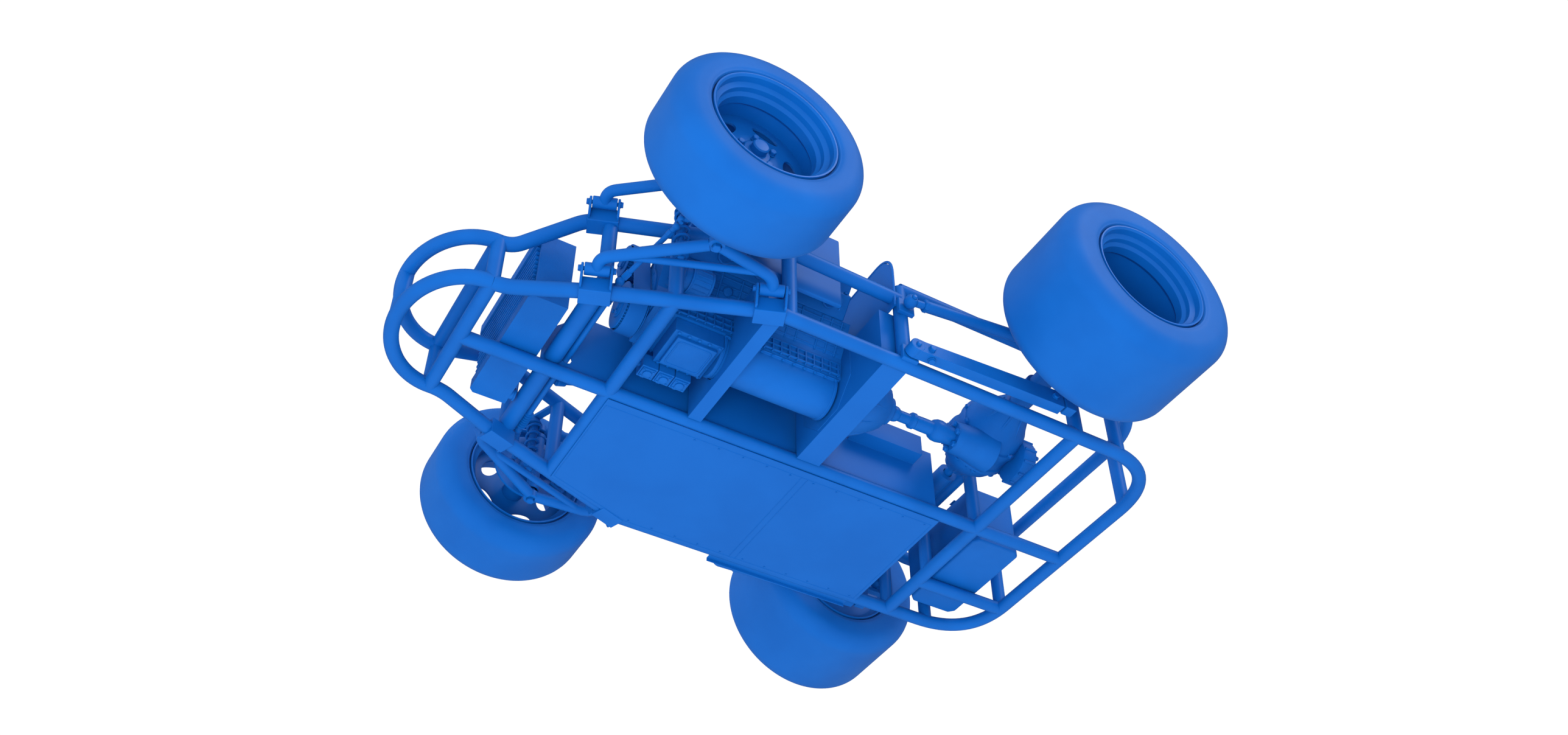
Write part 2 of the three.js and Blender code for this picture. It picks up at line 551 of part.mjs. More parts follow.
const PULLEY_R = 80;
const PULLEY_X = BLOCK_X1 + 8;
const pulleyAt = (z) => [V(PULLEY_X, ENGINE_Y, z), V(PULLEY_X + 74, ENGINE_Y, z)];
piece('crank_pulley', bar(...pulleyAt(CRANK_Z), PULLEY_R, PULLEY_R, 24),
  bar(V(PULLEY_X + 70, ENGINE_Y, CRANK_Z), V(PULLEY_X + 84, ENGINE_Y, CRANK_Z), 22));
const UPPER_PULLEY_Z = CRANK_Z + 205;
const UPPER_PULLEY_R = 55;
piece('upper_pulley', bar(...pulleyAt(UPPER_PULLEY_Z), UPPER_PULLEY_R, UPPER_PULLEY_R, 20));
function beltLoop(grow) {
  const arc = (z, r, from, to) => Array.from({ length: 9 }, (_, i) => {
    const angle = from + (i / 8) * (to - from);
    return [ENGINE_Y + r * Math.cos(angle), z + r * Math.sin(angle)];
  });
  const lean = Math.asin((PULLEY_R - UPPER_PULLEY_R) / (UPPER_PULLEY_Z - CRANK_Z));
  return [...arc(UPPER_PULLEY_Z, UPPER_PULLEY_R + grow, lean, Math.PI - lean),
    ...arc(CRANK_Z, PULLEY_R + grow, Math.PI - lean, 2 * Math.PI + lean)];
}
const insideBelt = slab(beltLoop(2), PULLEY_X, PULLEY_X + 75);
piece('drive_belt', cut(slab(beltLoop(8), PULLEY_X + 6, PULLEY_X + 68), insideBelt));
// Cross members that carry the engine, between the centre rail and the left rail.
const widerBlock = mirrored(blockHalf.map(([y, z]) => [y + (y ? 4 : 0), z]));
const widerPan = [...halfRound, ...panTop].map(([y, z]) => (
  [ENGINE_Y + (y - ENGINE_Y) * 1.04, z > PAN_Z - 3 ? z + 1 : z - 3]));
const engineCutters = [
  slab(widerBlock, BLOCK_X0 - 300, BLOCK_X1 + 9),
  slab(widerPan, BLOCK_X0 - 5, SUMP_X0 + 2),
];
const mountTop = 300;
const frontMount = box(SUMP_X0 - 69, SUMP_X0 - 21, TUBE_R + 2, HALF_WIDTH - 20, LOWER_Z - 12, mountTop);
const leftPosts = [MID_X, REAR_PLATE_X].map((x) => (
  bar(V(x, HALF_WIDTH, LOWER_Z), V(x, HALF_WIDTH, UPPER_MID_Z), TUBE_R + GAP)));
const mountCutters = [...railCutters, ...bracketCutters, ...leftPosts, ...engineCutters, centreBar(GAP)];
const BELL_R = 163;
const eightSided = (r) => Array.from({ length: 8 }, (_, i) => {
  const angle = (i + 0.5) * Math.PI / 4;
  return [ENGINE_Y + r * Math.cos(angle), CRANK_Z + r * Math.sin(angle)];
});
const rearMountX = [REAR_PLATE_X - 17, REAR_PLATE_X + 71];
const rearMount = box(...rearMountX, TUBE_R + 2, HALF_WIDTH - 20, LOWER_Z - 12, mountTop + 30);
const bellOpening = slab(eightSided(BELL_R + 3), COWL_X - 1, COWL_X + 6);
piece('cowl_panel', cut(slab(cowlOutline(), COWL_X, COWL_X + 5), railCutters, bellOpening));
piece('engine_mount_front', cut(frontMount, mountCutters));
piece('engine_mount_rear', cut(rearMount, slab(eightSided(BELL_R + GAP), REAR_PLATE_X - 40, REAR_PLATE_X + 80),
  railCutters, leftPosts, centreBar(GAP)));
piece('bellhousing', slab(eightSided(BELL_R), REAR_PLATE_X - 16, REAR_PLATE_X + 73),
  bar(V(REAR_PLATE_X - 15, ENGINE_Y, CRANK_Z), V(BELL_END_X + 20, ENGINE_Y, CRANK_Z), BELL_R - 14, 74, 16),
  bar(V(BELL_END_X + 21, ENGINE_Y, CRANK_Z), V(BELL_END_X, ENGINE_Y, CRANK_Z), 50, 44, 16));

// ---- fuel cell in the tail -----------------------------------------------------------------------
const cellX = [TAIL_X - 59, TAIL_X - 263];
const cellY = [-518, -75];
const bevelled = (x0, x1, y0, y1, e) => [
  [x0, y0 - e], [x0 - e, y0], [x1 + e, y0], [x1, y0 - e],
  [x1, y1 + e], [x1 + e, y1], [x0 - e, y1], [x0, y1 + e],
];
const cellOutline = bevelled(cellX[0], cellX[1], cellY[1], cellY[0], 22).reverse();
piece('fuel_cell', sheet(cellOutline, FLOOR_Z, FLOOR_Z + 244));

// ---- driver's side: seat and steering ---------------------------------------------------------
const SEAT_Y = -HALF_WIDTH / 2;
const seatOutline = [[-20, FLOOR_Z + 4], [-10, FLOOR_Z + 110], [-40, FLOOR_Z + 110], [-300, FLOOR_Z + 60],
  [-420, FLOOR_Z + 420], [-450, FLOOR_Z + 420], [-340, FLOOR_Z + 4]];
const seatSide = [[-60, FLOOR_Z + 30], [-70, FLOOR_Z + 170], [-280, FLOOR_Z + 210], [-420, FLOOR_Z + 400],
  [-436, FLOOR_Z + 400], [-330, FLOOR_Z + 30]];
piece('seat', wall(seatOutline, SEAT_Y - 190, SEAT_Y + 190), wall(seatSide, SEAT_Y - 205, SEAT_Y - 185),
  wall(seatSide, SEAT_Y + 185, SEAT_Y + 205));
const COLUMN_FOOT = V(RACK_X - 22, -150, RACK_Z + 34);
const WHEEL_HUB = V(140, SEAT_Y, 520);
const columnDir = WHEEL_HUB.clone().sub(COLUMN_FOOT).normalize();
const ring = new THREE.TorusGeometry(140, 13, 5, 16);
ring.applyQuaternion(new THREE.Quaternion().setFromUnitVectors(V(0, 0, 1), columnDir));
const spokeDir = V(0, 0, 1).cross(columnDir).normalize();
const spoke = (sign) => bar(WHEEL_HUB, WHEEL_HUB.clone().addScaledVector(spokeDir, sign * 138), 9);
piece('steering_wheel', solid(ring.translate(...WHEEL_HUB.toArray())), spoke(1), spoke(-1), ball(WHEEL_HUB, 26),
  bar(COLUMN_FOOT, WHEEL_HUB, 10));
const TIE_Z = 240;
const tieStart = 395;
const TIP = V(FRONT_AXLE_X + 102, KINGPIN_Y - 40, TIE_Z);
const tieEndY = TIP.y - 13 - ARM_PLAY - 12;
const tieRod = (side) => {
  const near = V(RACK_X, side * tieStart, RACK_Z);
  const far = V(TIP.x, side * tieEndY, TIE_Z);
  return [ball(near, 15), bar(near, far, 9), ball(far, 12)];
};
const rackBar = bar(V(RACK_X, -tieStart, RACK_Z), V(RACK_X, tieStart, RACK_Z), RACK_R);
piece('steering_rack', rackBar, tieRod(1), tieRod(-1));

// ---- front corners --------------------------------------------------------------------------------
const REACH = (KINGPIN_Y - railY(FRONT_AXLE_X)) * OUT[1] - PIVOT_OUT;   // pivot line to ball joint
const RING_R = 26;
const RING_BORE = 14;
const STUD_R = 8;
const BRACE_AT = 62;
const ELBOW_AT = 45;

// Point s forward of the ball joint along the pivot line and d outward from that line.
function armPoint(side, s, d, z) {
  const y = KINGPIN_Y - (REACH - d) * OUT[1] + s * ALONG[1];
  return V(FRONT_AXLE_X - (REACH - d) * OUT[0] + s * ALONG[0], side * y, z);
}

function pivotS(x) {
  return (x - FRONT_AXLE_X) * ALONG[0] + (railY(x) - KINGPIN_Y) * ALONG[1];
}

function wishbone(side, pivotZ, ballZ, brace) {
  const rise = (d) => pivotZ + (ballZ - pivotZ) * d / REACH;
  const legs = [FRONT_BRACKET_X, REAR_BRACKET_X].flatMap((x) => {
    const s = pivotS(x);
    const pivot = armPoint(side, s, 0, pivotZ);
    const elbow = armPoint(side, s, ELBOW_AT, rise(ELBOW_AT));
    const half = BUSH_LENGTH / 2;
    return [tube(rounded([pivot, elbow, armPoint(side, 0, REACH, ballZ)], 30), ARM_R),
      bar(armPoint(side, s - half, 0, pivotZ), armPoint(side, s + half, 0, pivotZ), BUSH_R)];
  });
  const ringZ = (dz) => V(FRONT_AXLE_X, side * KINGPIN_Y, ballZ + dz);
  const braceEnd = (x) => {
    const inward = (REACH - BRACE_AT) / (REACH - ELBOW_AT);
    return armPoint(side, pivotS(x) * inward, BRACE_AT, rise(BRACE_AT));
  };
  const web = brace ? [bar(braceEnd(FRONT_BRACKET_X), braceEnd(REAR_BRACKET_X), 12)] : [];
  const bores = [FRONT_BRACKET_X, REAR_BRACKET_X].map((x) => bar(armPoint(side, pivotS(x) - 60, 0, pivotZ),
    armPoint(side, pivotS(x) + 60, 0, pivotZ), BOLT_R + BOLT_PLAY));
  return cut(join(legs, web, bar(ringZ(-14), ringZ(14), RING_R)), bores, bar(ringZ(-40), ringZ(40), RING_BORE));
}

const LOWER_BALL_Z = LOWER_PIVOT_Z + BALL_UP;
const UPPER_BALL_Z = UPPER_PIVOT_Z + BALL_UP;
const DAMPER_S = 100;
const SPRING_Z = [186, 368];
const SPRING_TURNS = 6;

function spring(x, y, z0, z1) {
  const r = SPRING_R - SPRING_WIRE;
  return tube(Array.from({ length: SPRING_TURNS * 7 + 1 }, (_, i) => {
    const angle = (i / 7) * Math.PI * 2;
    const rise = (i / (SPRING_TURNS * 7)) * (z1 - z0 - 2 * SPRING_WIRE);
    return V(x + r * Math.cos(angle), y + r * Math.sin(angle), z0 + SPRING_WIRE + rise);
  }), SPRING_WIRE - 0.3, 4);
}

function wheel(side, y, radius, width, discAt, windows) {
  const half = width / 2;
  const well = RIM_R - 22;
  const rimHalf = half - 5;
  const barrel = [[RIM_R, -rimHalf], [RIM_R, -rimHalf + 7], [well, -rimHalf + 24], [well, rimHalf - 24],
    [RIM_R, rimHalf - 7], [RIM_R, rimHalf], [RIM_R - 7, rimHalf], [RIM_R - 7, rimHalf - 10],
    [well - 6, rimHalf - 26], [well - 6, -rimHalf + 26], [RIM_R - 7, -rimHalf + 10], [RIM_R - 7, -rimHalf],
    [RIM_R, -rimHalf]];
  const disc = [[0, discAt - 6], [70, discAt - 6], [well - 3, discAt - 26], [well - 3, discAt - 18],
    [70, discAt + 6], [0, discAt + 6]];
  const centre = [radius === FRONT_TYRE_R ? FRONT_AXLE_X : REAR_AXLE_X, side * y, radius];
  const holes = windows ? Array.from({ length: 5 }, (_, i) => {
    const a = (i + 0.5) * Math.PI * 2 / 5;
    const geometry = new THREE.CylinderGeometry(1, 1, width, 8);
    geometry.scale(27, 1, 46).rotateY(Math.PI / 2 - a);
    const [x, , z] = centre;
    return solid(geometry.translate(x + 122 * Math.cos(a), centre[1], z + 122 * Math.sin(a)));
  }) : [];
  return cut(join(turned(barrel, ...centre, 20, side), turned(disc, ...centre, 20, side)), holes);
}

function tyre(side, x, y, radius, width) {
  const half = width / 2;
  const arc = (sign) => Array.from({ length: 4 }, (_, i) => {
    const angle = (i / 3) * Math.PI / 2;
    const turn = sign > 0 ? angle : Math.PI / 2 - angle;
    const inner = half - SHOULDER_R;
    return [radius - SHOULDER_R + SHOULDER_R * Math.cos(turn), sign * (inner + SHOULDER_R * Math.sin(turn))];
  });
  const bead = RIM_R + 1;
  const profile = [
    [bead, -half + 14], [bead + 14, -half],
    ...arc(-1), ...arc(1),
    [bead + 14, half], [bead, half - 14], [bead, half - 34],
    [radius - 14, half - 36], [radius - 14, -half + 36],
    [bead, -half + 34], [bead, -half + 14],
  ];
  return turned(profile, x, side * y, radius, 24, side);
}

for (const [side, name] of [[1, 'left'], [-1, 'right']]) {
  const yz = (y, z) => V(FRONT_AXLE_X, side * y, z);
  piece(`wishbone_lower_${name}`, wishbone(side, LOWER_PIVOT_Z, LOWER_BALL_Z, true));
  piece(`wishbone_upper_${name}`, wishbone(side, UPPER_PIVOT_Z, UPPER_BALL_Z, false));
  const pin = (z0, z1, r) => bar(yz(KINGPIN_Y, z0), yz(KINGPIN_Y, z1), r);
  piece(`kingpin_${name}`, pin(LOWER_BALL_Z + 22, UPPER_BALL_Z - 22, KINGPIN_R),
    pin(LOWER_BALL_Z - 10, UPPER_BALL_Z + 10, STUD_R));
  const tip = V(TIP.x, side * TIP.y, TIP.z);
  const spindleEnd = FRONT_WHEEL_Y - 26;
  const sleeve = pin(LOWER_BALL_Z + 28, UPPER_BALL_Z - 28, 24);
  const spindle = bar(yz(KINGPIN_Y, FRONT_Z), yz(spindleEnd, FRONT_Z), SPINDLE_R);
  const boss = bar(yz(KINGPIN_Y, FRONT_Z), yz(KINGPIN_Y + 36, FRONT_Z), 36);
  const steeringArm = [bar(yz(KINGPIN_Y, TIE_Z), tip, 10), ball(tip, 13)];
  const pinBore = pin(0, 600, KINGPIN_R + 1.5 * BOLT_PLAY);
  piece(`knuckle_${name}`, cut(join(sleeve, spindle, steeringArm, boss), pinBore));
  const hub = join(bar(yz(KINGPIN_Y + 44, FRONT_Z), yz(FRONT_WHEEL_Y - 6, FRONT_Z), 34, 34, 16),
    bar(yz(KINGPIN_Y + 54, FRONT_Z), yz(KINGPIN_Y + 64, FRONT_Z), 135, 135, 28));
  const rim = wheel(side, FRONT_WHEEL_Y, FRONT_TYRE_R, FRONT_TYRE_W, 0, true);
  const hubBore = bar(yz(KINGPIN_Y, FRONT_Z), yz(spindleEnd + 4, FRONT_Z), SPINDLE_R + 1.5 * BOLT_PLAY);
  piece(`rim_front_${name}`, cut(join(rim, hub), hubBore));
  piece(`tyre_front_${name}`, tyre(side, FRONT_AXLE_X, FRONT_WHEEL_Y, FRONT_TYRE_R, FRONT_TYRE_W));

  const mount = armPoint(side, DAMPER_S, BRACE_AT, 0);
  const up = (z) => V(mount.x, mount.y, z);
  const braceZ = LOWER_PIVOT_Z + BALL_UP * BRACE_AT / REACH;
  const lowerSeat = bar(up(SPRING_Z[0] - 8), up(SPRING_Z[0] - GAP), SPRING_R);
  const rodFoot = bar(up(braceZ + 16), up(SPRING_Z[0] - 8), 13);
  piece(`damper_rod_front_${name}`, bar(up(braceZ + 17), up(290), ROD_R), lowerSeat, rodFoot);
  piece(`spring_front_${name}`, spring(mount.x, mount.y, ...SPRING_Z));
  const hangerX = mount.x - (BRACE_AT + PIVOT_OUT) * OUT[0];
  const hangerEnd = PIVOT_OUT + BRACE_AT + 14;
  const hanger = railBox(side, hangerX, -14, 14, 10, hangerEnd, UPPER_MID_Z - 4, UPPER_MID_Z + 10);
  const body = cut(bar(up(250), up(UPPER_MID_Z - 3), DAMPER_R), bar(up(240), up(330), ROD_R + 0.6));
  const collar = bar(up(SPRING_Z[1] + GAP), up(SPRING_Z[1] + 8), SPRING_R);
  piece(`damper_front_${name}`, cut(join(body, collar, hanger), railCutters, grownCrosses));
}

// ---- rear axle on its torque tube ----------------------------------------------------------------------
const driveLine = (x) => V(x, ENGINE_Y, CRANK_Z);
const SNOUT_X = REAR_AXLE_X + 172;
const torqueTube = [
  ball(driveLine(TORQUE_BALL_X), 28, 14),
  bar(driveLine(TORQUE_BALL_X), driveLine(SNOUT_X + 60), 20),
  bar(driveLine(TORQUE_BALL_X - 66), driveLine(TORQUE_BALL_X - 112), 29),
  bar(driveLine(TORQUE_BALL_X - 100), driveLine(SNOUT_X + 60), 26),
  ball(driveLine(SNOUT_X + 52), 40, 14),
  bar(driveLine(SNOUT_X + 40), driveLine(SNOUT_X - GAP), 34),
];
const axle = (y, z = REAR_Z) => V(REAR_AXLE_X, y, z);
const DIFF_R = 128;
const TUBE_END = HALF_WIDTH + 138;
const SHAFT_R = 16;
const REAR_DISC = -130;            // dish plate, from the middle of the rear wheel
const FLANGE_END = REAR_WHEEL_Y + REAR_DISC - 6 - GAP;
const lug = (side) => [
  box(REAR_AXLE_X - 20, REAR_AXLE_X + 20, side * lugY - 20, side * lugY + 20, 118, 438),
  box(REAR_AXLE_X - 104, REAR_AXLE_X, side * lugY - 14, side * lugY + 14, 196, 214)];
const differential = [
  bar(axle(150), axle(255), DIFF_R, DIFF_R, 24),
  bar(axle(255), axle(402), DIFF_R - 8, 46, 20),
  bar(axle(150), axle(30), DIFF_R - 8, 46, 20),
  bar(driveLine(SNOUT_X), driveLine(REAR_AXLE_X - 90), 58, 76, 16),
  bar(driveLine(REAR_AXLE_X - 80), driveLine(REAR_AXLE_X - 150), 74, 74, 16),
  bar(driveLine(SNOUT_X), driveLine(SNOUT_X - 10), 52),
];
const axleTube = bar(axle(-TUBE_END), axle(TUBE_END), 38, 38, 14);
const shaftBore = bar(axle(-TUBE_END - 5), axle(TUBE_END + 5), SHAFT_R + 3);
piece('axle_housing', cut(join(torqueTube, axleTube, differential, lug(1), lug(-1)), shaftBore));
piece('axle_shaft', bar(axle(-FLANGE_END), axle(FLANGE_END), SHAFT_R),
  [1, -1].map((side) => bar(axle(side * (TUBE_END + 3)), axle(side * FLANGE_END), 62, 62, 16)));

for (const [side, name] of [[1, 'left'], [-1, 'right']]) {
  piece(`rim_rear_${name}`, wheel(side, REAR_WHEEL_Y, REAR_TYRE_R, REAR_TYRE_W, REAR_DISC, false));
  piece(`tyre_rear_${name}`, tyre(side, REAR_AXLE_X, REAR_WHEEL_Y, REAR_TYRE_R, REAR_TYRE_W));
}

const acrossPin = (side, z, half, r, sides) => bar(
  V(trailFrontX, side * (lugY - half), z),
  V(trailFrontX, side * (lugY + half), z),
  r,
  r,
  sides,
);
const pinBore = (side, z) => acrossPin(side, z, 40, PIN_R + BOLT_PLAY, SIDES);
function trailingArm(side) {
  const [z0, z1] = LOWER_TRAIL;
  const h = TRAIL_H / 2;
  const outline = [
    [trailEndX, z1 - h],
    [trailFrontX - 12, z0 - h + 8],
    [trailFrontX, z0 - 22],
    [trailFrontX, z0 + 22],
    [trailFrontX - 12, z0 + h - 8],
    [trailEndX, z1 + h],
  ];
  const [y0, y1] = [side * lugY - TRAIL_W / 2, side * lugY + TRAIL_W / 2];
  const eye = acrossPin(side, z0, TRAIL_W / 2 - 0.5, 26, 14);
  return cut(join(wall(outline, y0 + 1, y1 - 1), eye), pinBore(side, z0));
}
function upperLink(side) {
  const [z0, z1] = UPPER_TRAIL;
  const from = V(trailFrontX, side * lugY, z0);
  const to = V(trailEndX, side * lugY, z1);
  const near = from.clone().lerp(to, 0.08);
  return cut(join(ball(from, 24, 14), bar(from, near, 15), bar(near, to, 20)), pinBore(side, z0));
}
for (const [side, name] of [[1, 'left'], [-1, 'right']]) {
  piece(`trailing_arm_${name}`, trailingArm(side));
  piece(`upper_link_${name}`, upperLink(side));
}

const REAR_DAMPER_X = REAR_AXLE_X - 86;
const REAR_SPRING_Z = [246, 392];
const REAR_DAMPER_TOP = 430;
const rearUp = (side, z) => V(REAR_DAMPER_X, side * lugY, z);
for (const [side, name] of [[1, 'left'], [-1, 'right']]) {
  const up = (z) => rearUp(side, z);
  const lowerSeat = bar(up(236), up(REAR_SPRING_Z[0] - GAP), SPRING_R);
  piece(`damper_rod_rear_${name}`, bar(up(218), up(330), ROD_R), bar(up(218), up(240), 13), lowerSeat);
  piece(`spring_rear_${name}`, spring(REAR_DAMPER_X, side * lugY, ...REAR_SPRING_Z));
  const body = cut(bar(up(284), up(REAR_DAMPER_TOP), DAMPER_R), bar(up(280), up(400), ROD_R + 0.6));
  const collar = bar(up(REAR_SPRING_Z[1] + GAP), up(400), SPRING_R);
  const [y0, y1] = [side * (HALF_WIDTH + 14), side * (lugY + 18)].sort((a, b) => a - b);
  const tab = box(REAR_DAMPER_X - 14, REAR_DAMPER_X + 14, y0, y1, REAR_DAMPER_TOP - 16, REAR_DAMPER_TOP);
  piece(`damper_rear_${name}`, cut(join(body, collar, tab), railCutters));
}

export default car;
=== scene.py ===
import math

import bmesh
import bpy
from mathutils import Matrix, Vector


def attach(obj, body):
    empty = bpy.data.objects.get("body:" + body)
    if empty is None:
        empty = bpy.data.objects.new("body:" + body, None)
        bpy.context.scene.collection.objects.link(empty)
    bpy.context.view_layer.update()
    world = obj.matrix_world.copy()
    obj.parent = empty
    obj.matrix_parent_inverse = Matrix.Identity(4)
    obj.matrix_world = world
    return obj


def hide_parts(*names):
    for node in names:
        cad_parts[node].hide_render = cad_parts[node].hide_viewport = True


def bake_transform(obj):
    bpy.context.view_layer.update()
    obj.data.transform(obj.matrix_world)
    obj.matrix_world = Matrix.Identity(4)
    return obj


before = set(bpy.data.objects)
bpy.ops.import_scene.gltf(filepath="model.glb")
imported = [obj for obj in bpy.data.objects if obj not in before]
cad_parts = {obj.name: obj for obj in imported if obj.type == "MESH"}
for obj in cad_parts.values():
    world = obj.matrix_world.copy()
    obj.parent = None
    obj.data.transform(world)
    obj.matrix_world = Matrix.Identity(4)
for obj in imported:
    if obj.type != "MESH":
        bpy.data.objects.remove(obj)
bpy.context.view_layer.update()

MM = 0.001
V = Vector

# Sizes of the chassis, in millimetres.
TUBE_R = 24
LOWER_Z = 96
HALF_WIDTH = 578
FRONT_AXLE_X, REAR_AXLE_X = 538, -812
NOSE_X, NOSE_HALF, NOSE_DEPTH = 1069, 262, 200
KINK_X, KINK_Y = 786, 380                   # where the rails turn in to the nose
SPLAY_X = 266                               # where the rails reach their full width
BRACKETS = (KINK_X, 290)                    # stations of the wishbone brackets
CROSS_X, DASH_X, MID_X, PLATE_X, TAIL_X = 762, 559, 222, -201, -891
BUMPER_X, LOOP_X, CORNER_R = -1269, -1009, 240
NOSE_Z, FRONT_Z, MID_Z, PLATE_Z, KICK_Z, REAR_Z = 275, 415, 400, 389, 440, 370
KINGPIN_Y = 690
LOWER_PIVOT_Z, UPPER_PIVOT_Z, BALL_UP, PIVOT_OUT = 136, 444, 14, 52
ENGINE_Y, CRANK_Z, UPPER_PULLEY_Z = 228, 250, 455
CRANK_R, UPPER_PULLEY_R = 80, 55
BLOCK_BACK, BLOCK_FRONT = -127, 560
FRONT_TYRE_R, FRONT_TYRE_W, FRONT_WHEEL_Y = 322.5, 270, 917
REAR_TYRE_R, REAR_TYRE_W, REAR_WHEEL_Y, REAR_DISH = 339, 390, 931, -130
CROSS_TUBE_R, CROSS_TUBE_Z = 30, 148
COWL_X = -169.5
TRAIL_Y = 640                               # trailing arms, upper links and rear dampers
TRAIL_PIVOT_Z, LINK_PIVOT_Z = 118, 330
RACK_X, RACK_Z, RACK_END_Y = 715, 163, 395
STEER_ARM = (640, 650, 240)                 # tip of the left steering arm
FLOOR_UNDER = 68.6                          # underside of the floor sheet
SIDES = ((1, "left"), (-1, "right"))


# Paint and castings.
def filled(node, values):
    """The node, with the named inputs set."""
    for label, value in values.items():
        node.inputs[label].default_value = value
    return node


def wired(tree, *runs):
    """Links in a node tree, each from one node's output to another's input."""
    for source, output, target, socket in runs:
        tree.links.new(source.outputs[output], target.inputs[socket])


def finish(name, deep, light, rough, grain, bump, sheen=0.015, spread=0.12):
    """Blue finish: two close tones in soft clouds, a fine grain in the gloss and in the surface."""
    material = bpy.data.materials.new(name)
    material.use_nodes = True
    nodes = material.node_tree.nodes
    shader = filled(nodes["Principled BSDF"], {
        "Metallic": 0.0, "Specular IOR Level": 0.10, "Sheen Weight": sheen, "Sheen Roughness": 0.35,
        "Sheen Tint": (0.45, 0.62, 1.0, 1)})
    place = nodes.new("ShaderNodeTexCoord")
    clouds = filled(nodes.new("ShaderNodeTexNoise"), {"Scale": 5.0, "Detail": 3.0})
    tones = nodes.new("ShaderNodeValToRGB")
    for stop, position, tone in zip(tones.color_ramp.elements, (0.35, 0.65), (deep, light)):
        stop.position = position
        stop.color = (*tone, 1)
    fine = filled(nodes.new("ShaderNodeTexNoise"), {"Scale": grain, "Detail": 4.0})
    half = spread / 2
    gloss = filled(nodes.new("ShaderNodeMapRange"), {"To Min": rough - half, "To Max": rough + half})
    relief = filled(nodes.new("ShaderNodeBump"), {"Strength": bump, "Distance": 0.0008})
    wired(material.node_tree,
          (place, "Object", clouds, "Vector"), (place, "Object", fine, "Vector"),
          (clouds, "Fac", tones, "Fac"), (tones, "Color", shader, "Base Color"),
          (fine, "Fac", gloss, "Value"), (gloss, "Result", shader, "Roughness"),
          (fine, "Fac", relief, "Height"), (relief, "Normal", shader, "Normal"))
    return material


DEEP, LIGHT = (0.0015, 0.0750, 0.3200), (0.0020, 0.0860, 0.3600)
FRAME_PAINT = finish("frame_paint", DEEP, LIGHT, 0.42, 900, 0.10)
TYRE_RUBBER = finish("tyre_rubber", (0.0015, 0.0760, 0.3250), (0.0021, 0.0850, 0.3525), 0.55, 1500, 0.35,
                     sheen=0.03)
RIM_PAINT = finish("rim_paint", DEEP, LIGHT, 0.38, 700, 0.06)
CASTING = finish("cast_alloy", (0.0014, 0.0700, 0.3000), (0.0021, 0.0880, 0.3650), 0.50, 450, 0.55,
                 spread=0.18)
MACHINED = finish("machined_steel", DEEP, LIGHT, 0.36, 1200, 0.08)
PANEL_PAINT = finish("panel_paint", (0.0015, 0.0775, 0.3325), (0.0019, 0.0840, 0.3525), 0.46, 600, 0.12)
CELL_SHELL = finish("cell_shell", DEEP, LIGHT, 0.52, 300, 0.30)
SEAT_SHELL = finish("seat_shell", DEEP, LIGHT, 0.50, 380, 0.25)
BELT_RUBBER = finish("belt_rubber", (0.0014, 0.0700, 0.3000), (0.0019, 0.0800, 0.3350), 0.60, 800, 0.40)
SPRING_PAINT = finish("spring_paint", DEEP, LIGHT, 0.34, 900, 0.05)


# Points and outlines.
def rounded(points, back, steps=8):
    """Polyline with each corner rounded back by the given length."""
    path = [points[0]]
    for before, corner, after in zip(points, points[1:], points[2:]):
        a = corner + (before - corner).normalized() * back
        b = corner + (after - corner).normalized() * back
        for i in range(steps + 1):
            t = i / steps
            path.append(a * (1 - t) ** 2 + corner * 2 * t * (1 - t) + b * t * t)
    return path + [points[-1]]


def rail_y(x):
    if x > KINK_X:
        return KINK_Y + (x - KINK_X) / (NOSE_X - KINK_X) * (NOSE_HALF - KINK_Y)
    if x > SPLAY_X:
        return KINK_Y + (KINK_X - x) / (KINK_X - SPLAY_X) * (HALF_WIDTH - KINK_Y)
    return HALF_WIDTH


def nose_loop(z):
    turn = [(i / 48 - 0.5) * math.pi for i in range(49)]
    return [V((NOSE_X + NOSE_DEPTH * math.cos(a), NOSE_HALF * math.sin(a), z)) for a in turn]


def side_rail(side, upper):
    z = (NOSE_Z, FRONT_Z, MID_Z, PLATE_Z) if upper else (LOWER_Z,) * 4
    ahead = 44 if upper else 0
    slope = (KINK_Y - NOSE_HALF) / (NOSE_X - KINK_X)
    return rounded([
        V((NOSE_X, side * NOSE_HALF, z[0])),
        V((NOSE_X - 40, side * NOSE_HALF, z[0])),
        V((KINK_X + ahead, side * (KINK_Y - ahead * slope), z[1])),
        V((SPLAY_X, side * HALF_WIDTH, z[2])),
        V((PLATE_X if upper else LOOP_X, side * HALF_WIDTH, z[3])),
    ], 38)


def kick_rail(side):
    return rounded([V((PLATE_X, side * HALF_WIDTH, KICK_Z)), V((REAR_AXLE_X - 48, side * HALF_WIDTH, KICK_Z)),
                    V((LOOP_X + 40, side * HALF_WIDTH, REAR_Z)), V((LOOP_X, side * HALF_WIDTH, REAR_Z))], 38)


def tail_loop(z):
    return rounded([V((LOOP_X, -HALF_WIDTH, z)), V((BUMPER_X, -HALF_WIDTH, z)), V((BUMPER_X, HALF_WIDTH, z)),
                    V((LOOP_X, HALF_WIDTH, z))], CORNER_R, 20)


def post(x, y, top):
    return [V((x, y, LOWER_Z)), V((x, y, top))]


def angles(count, start=0.0):
    return [start + i / count * math.tau for i in range(count)]


def hoop(centre, axis, across, radius, count, start=0.0):
    """Points round an axis, the first one towards across."""
    up = axis.cross(across)
    return [centre + (across * math.cos(a) + up * math.sin(a)) * radius for a in angles(count, start)]


def spoke(a):
    """Direction at angle a in a plane square to the x axis."""
    return V((0, math.cos(a), math.sin(a)))


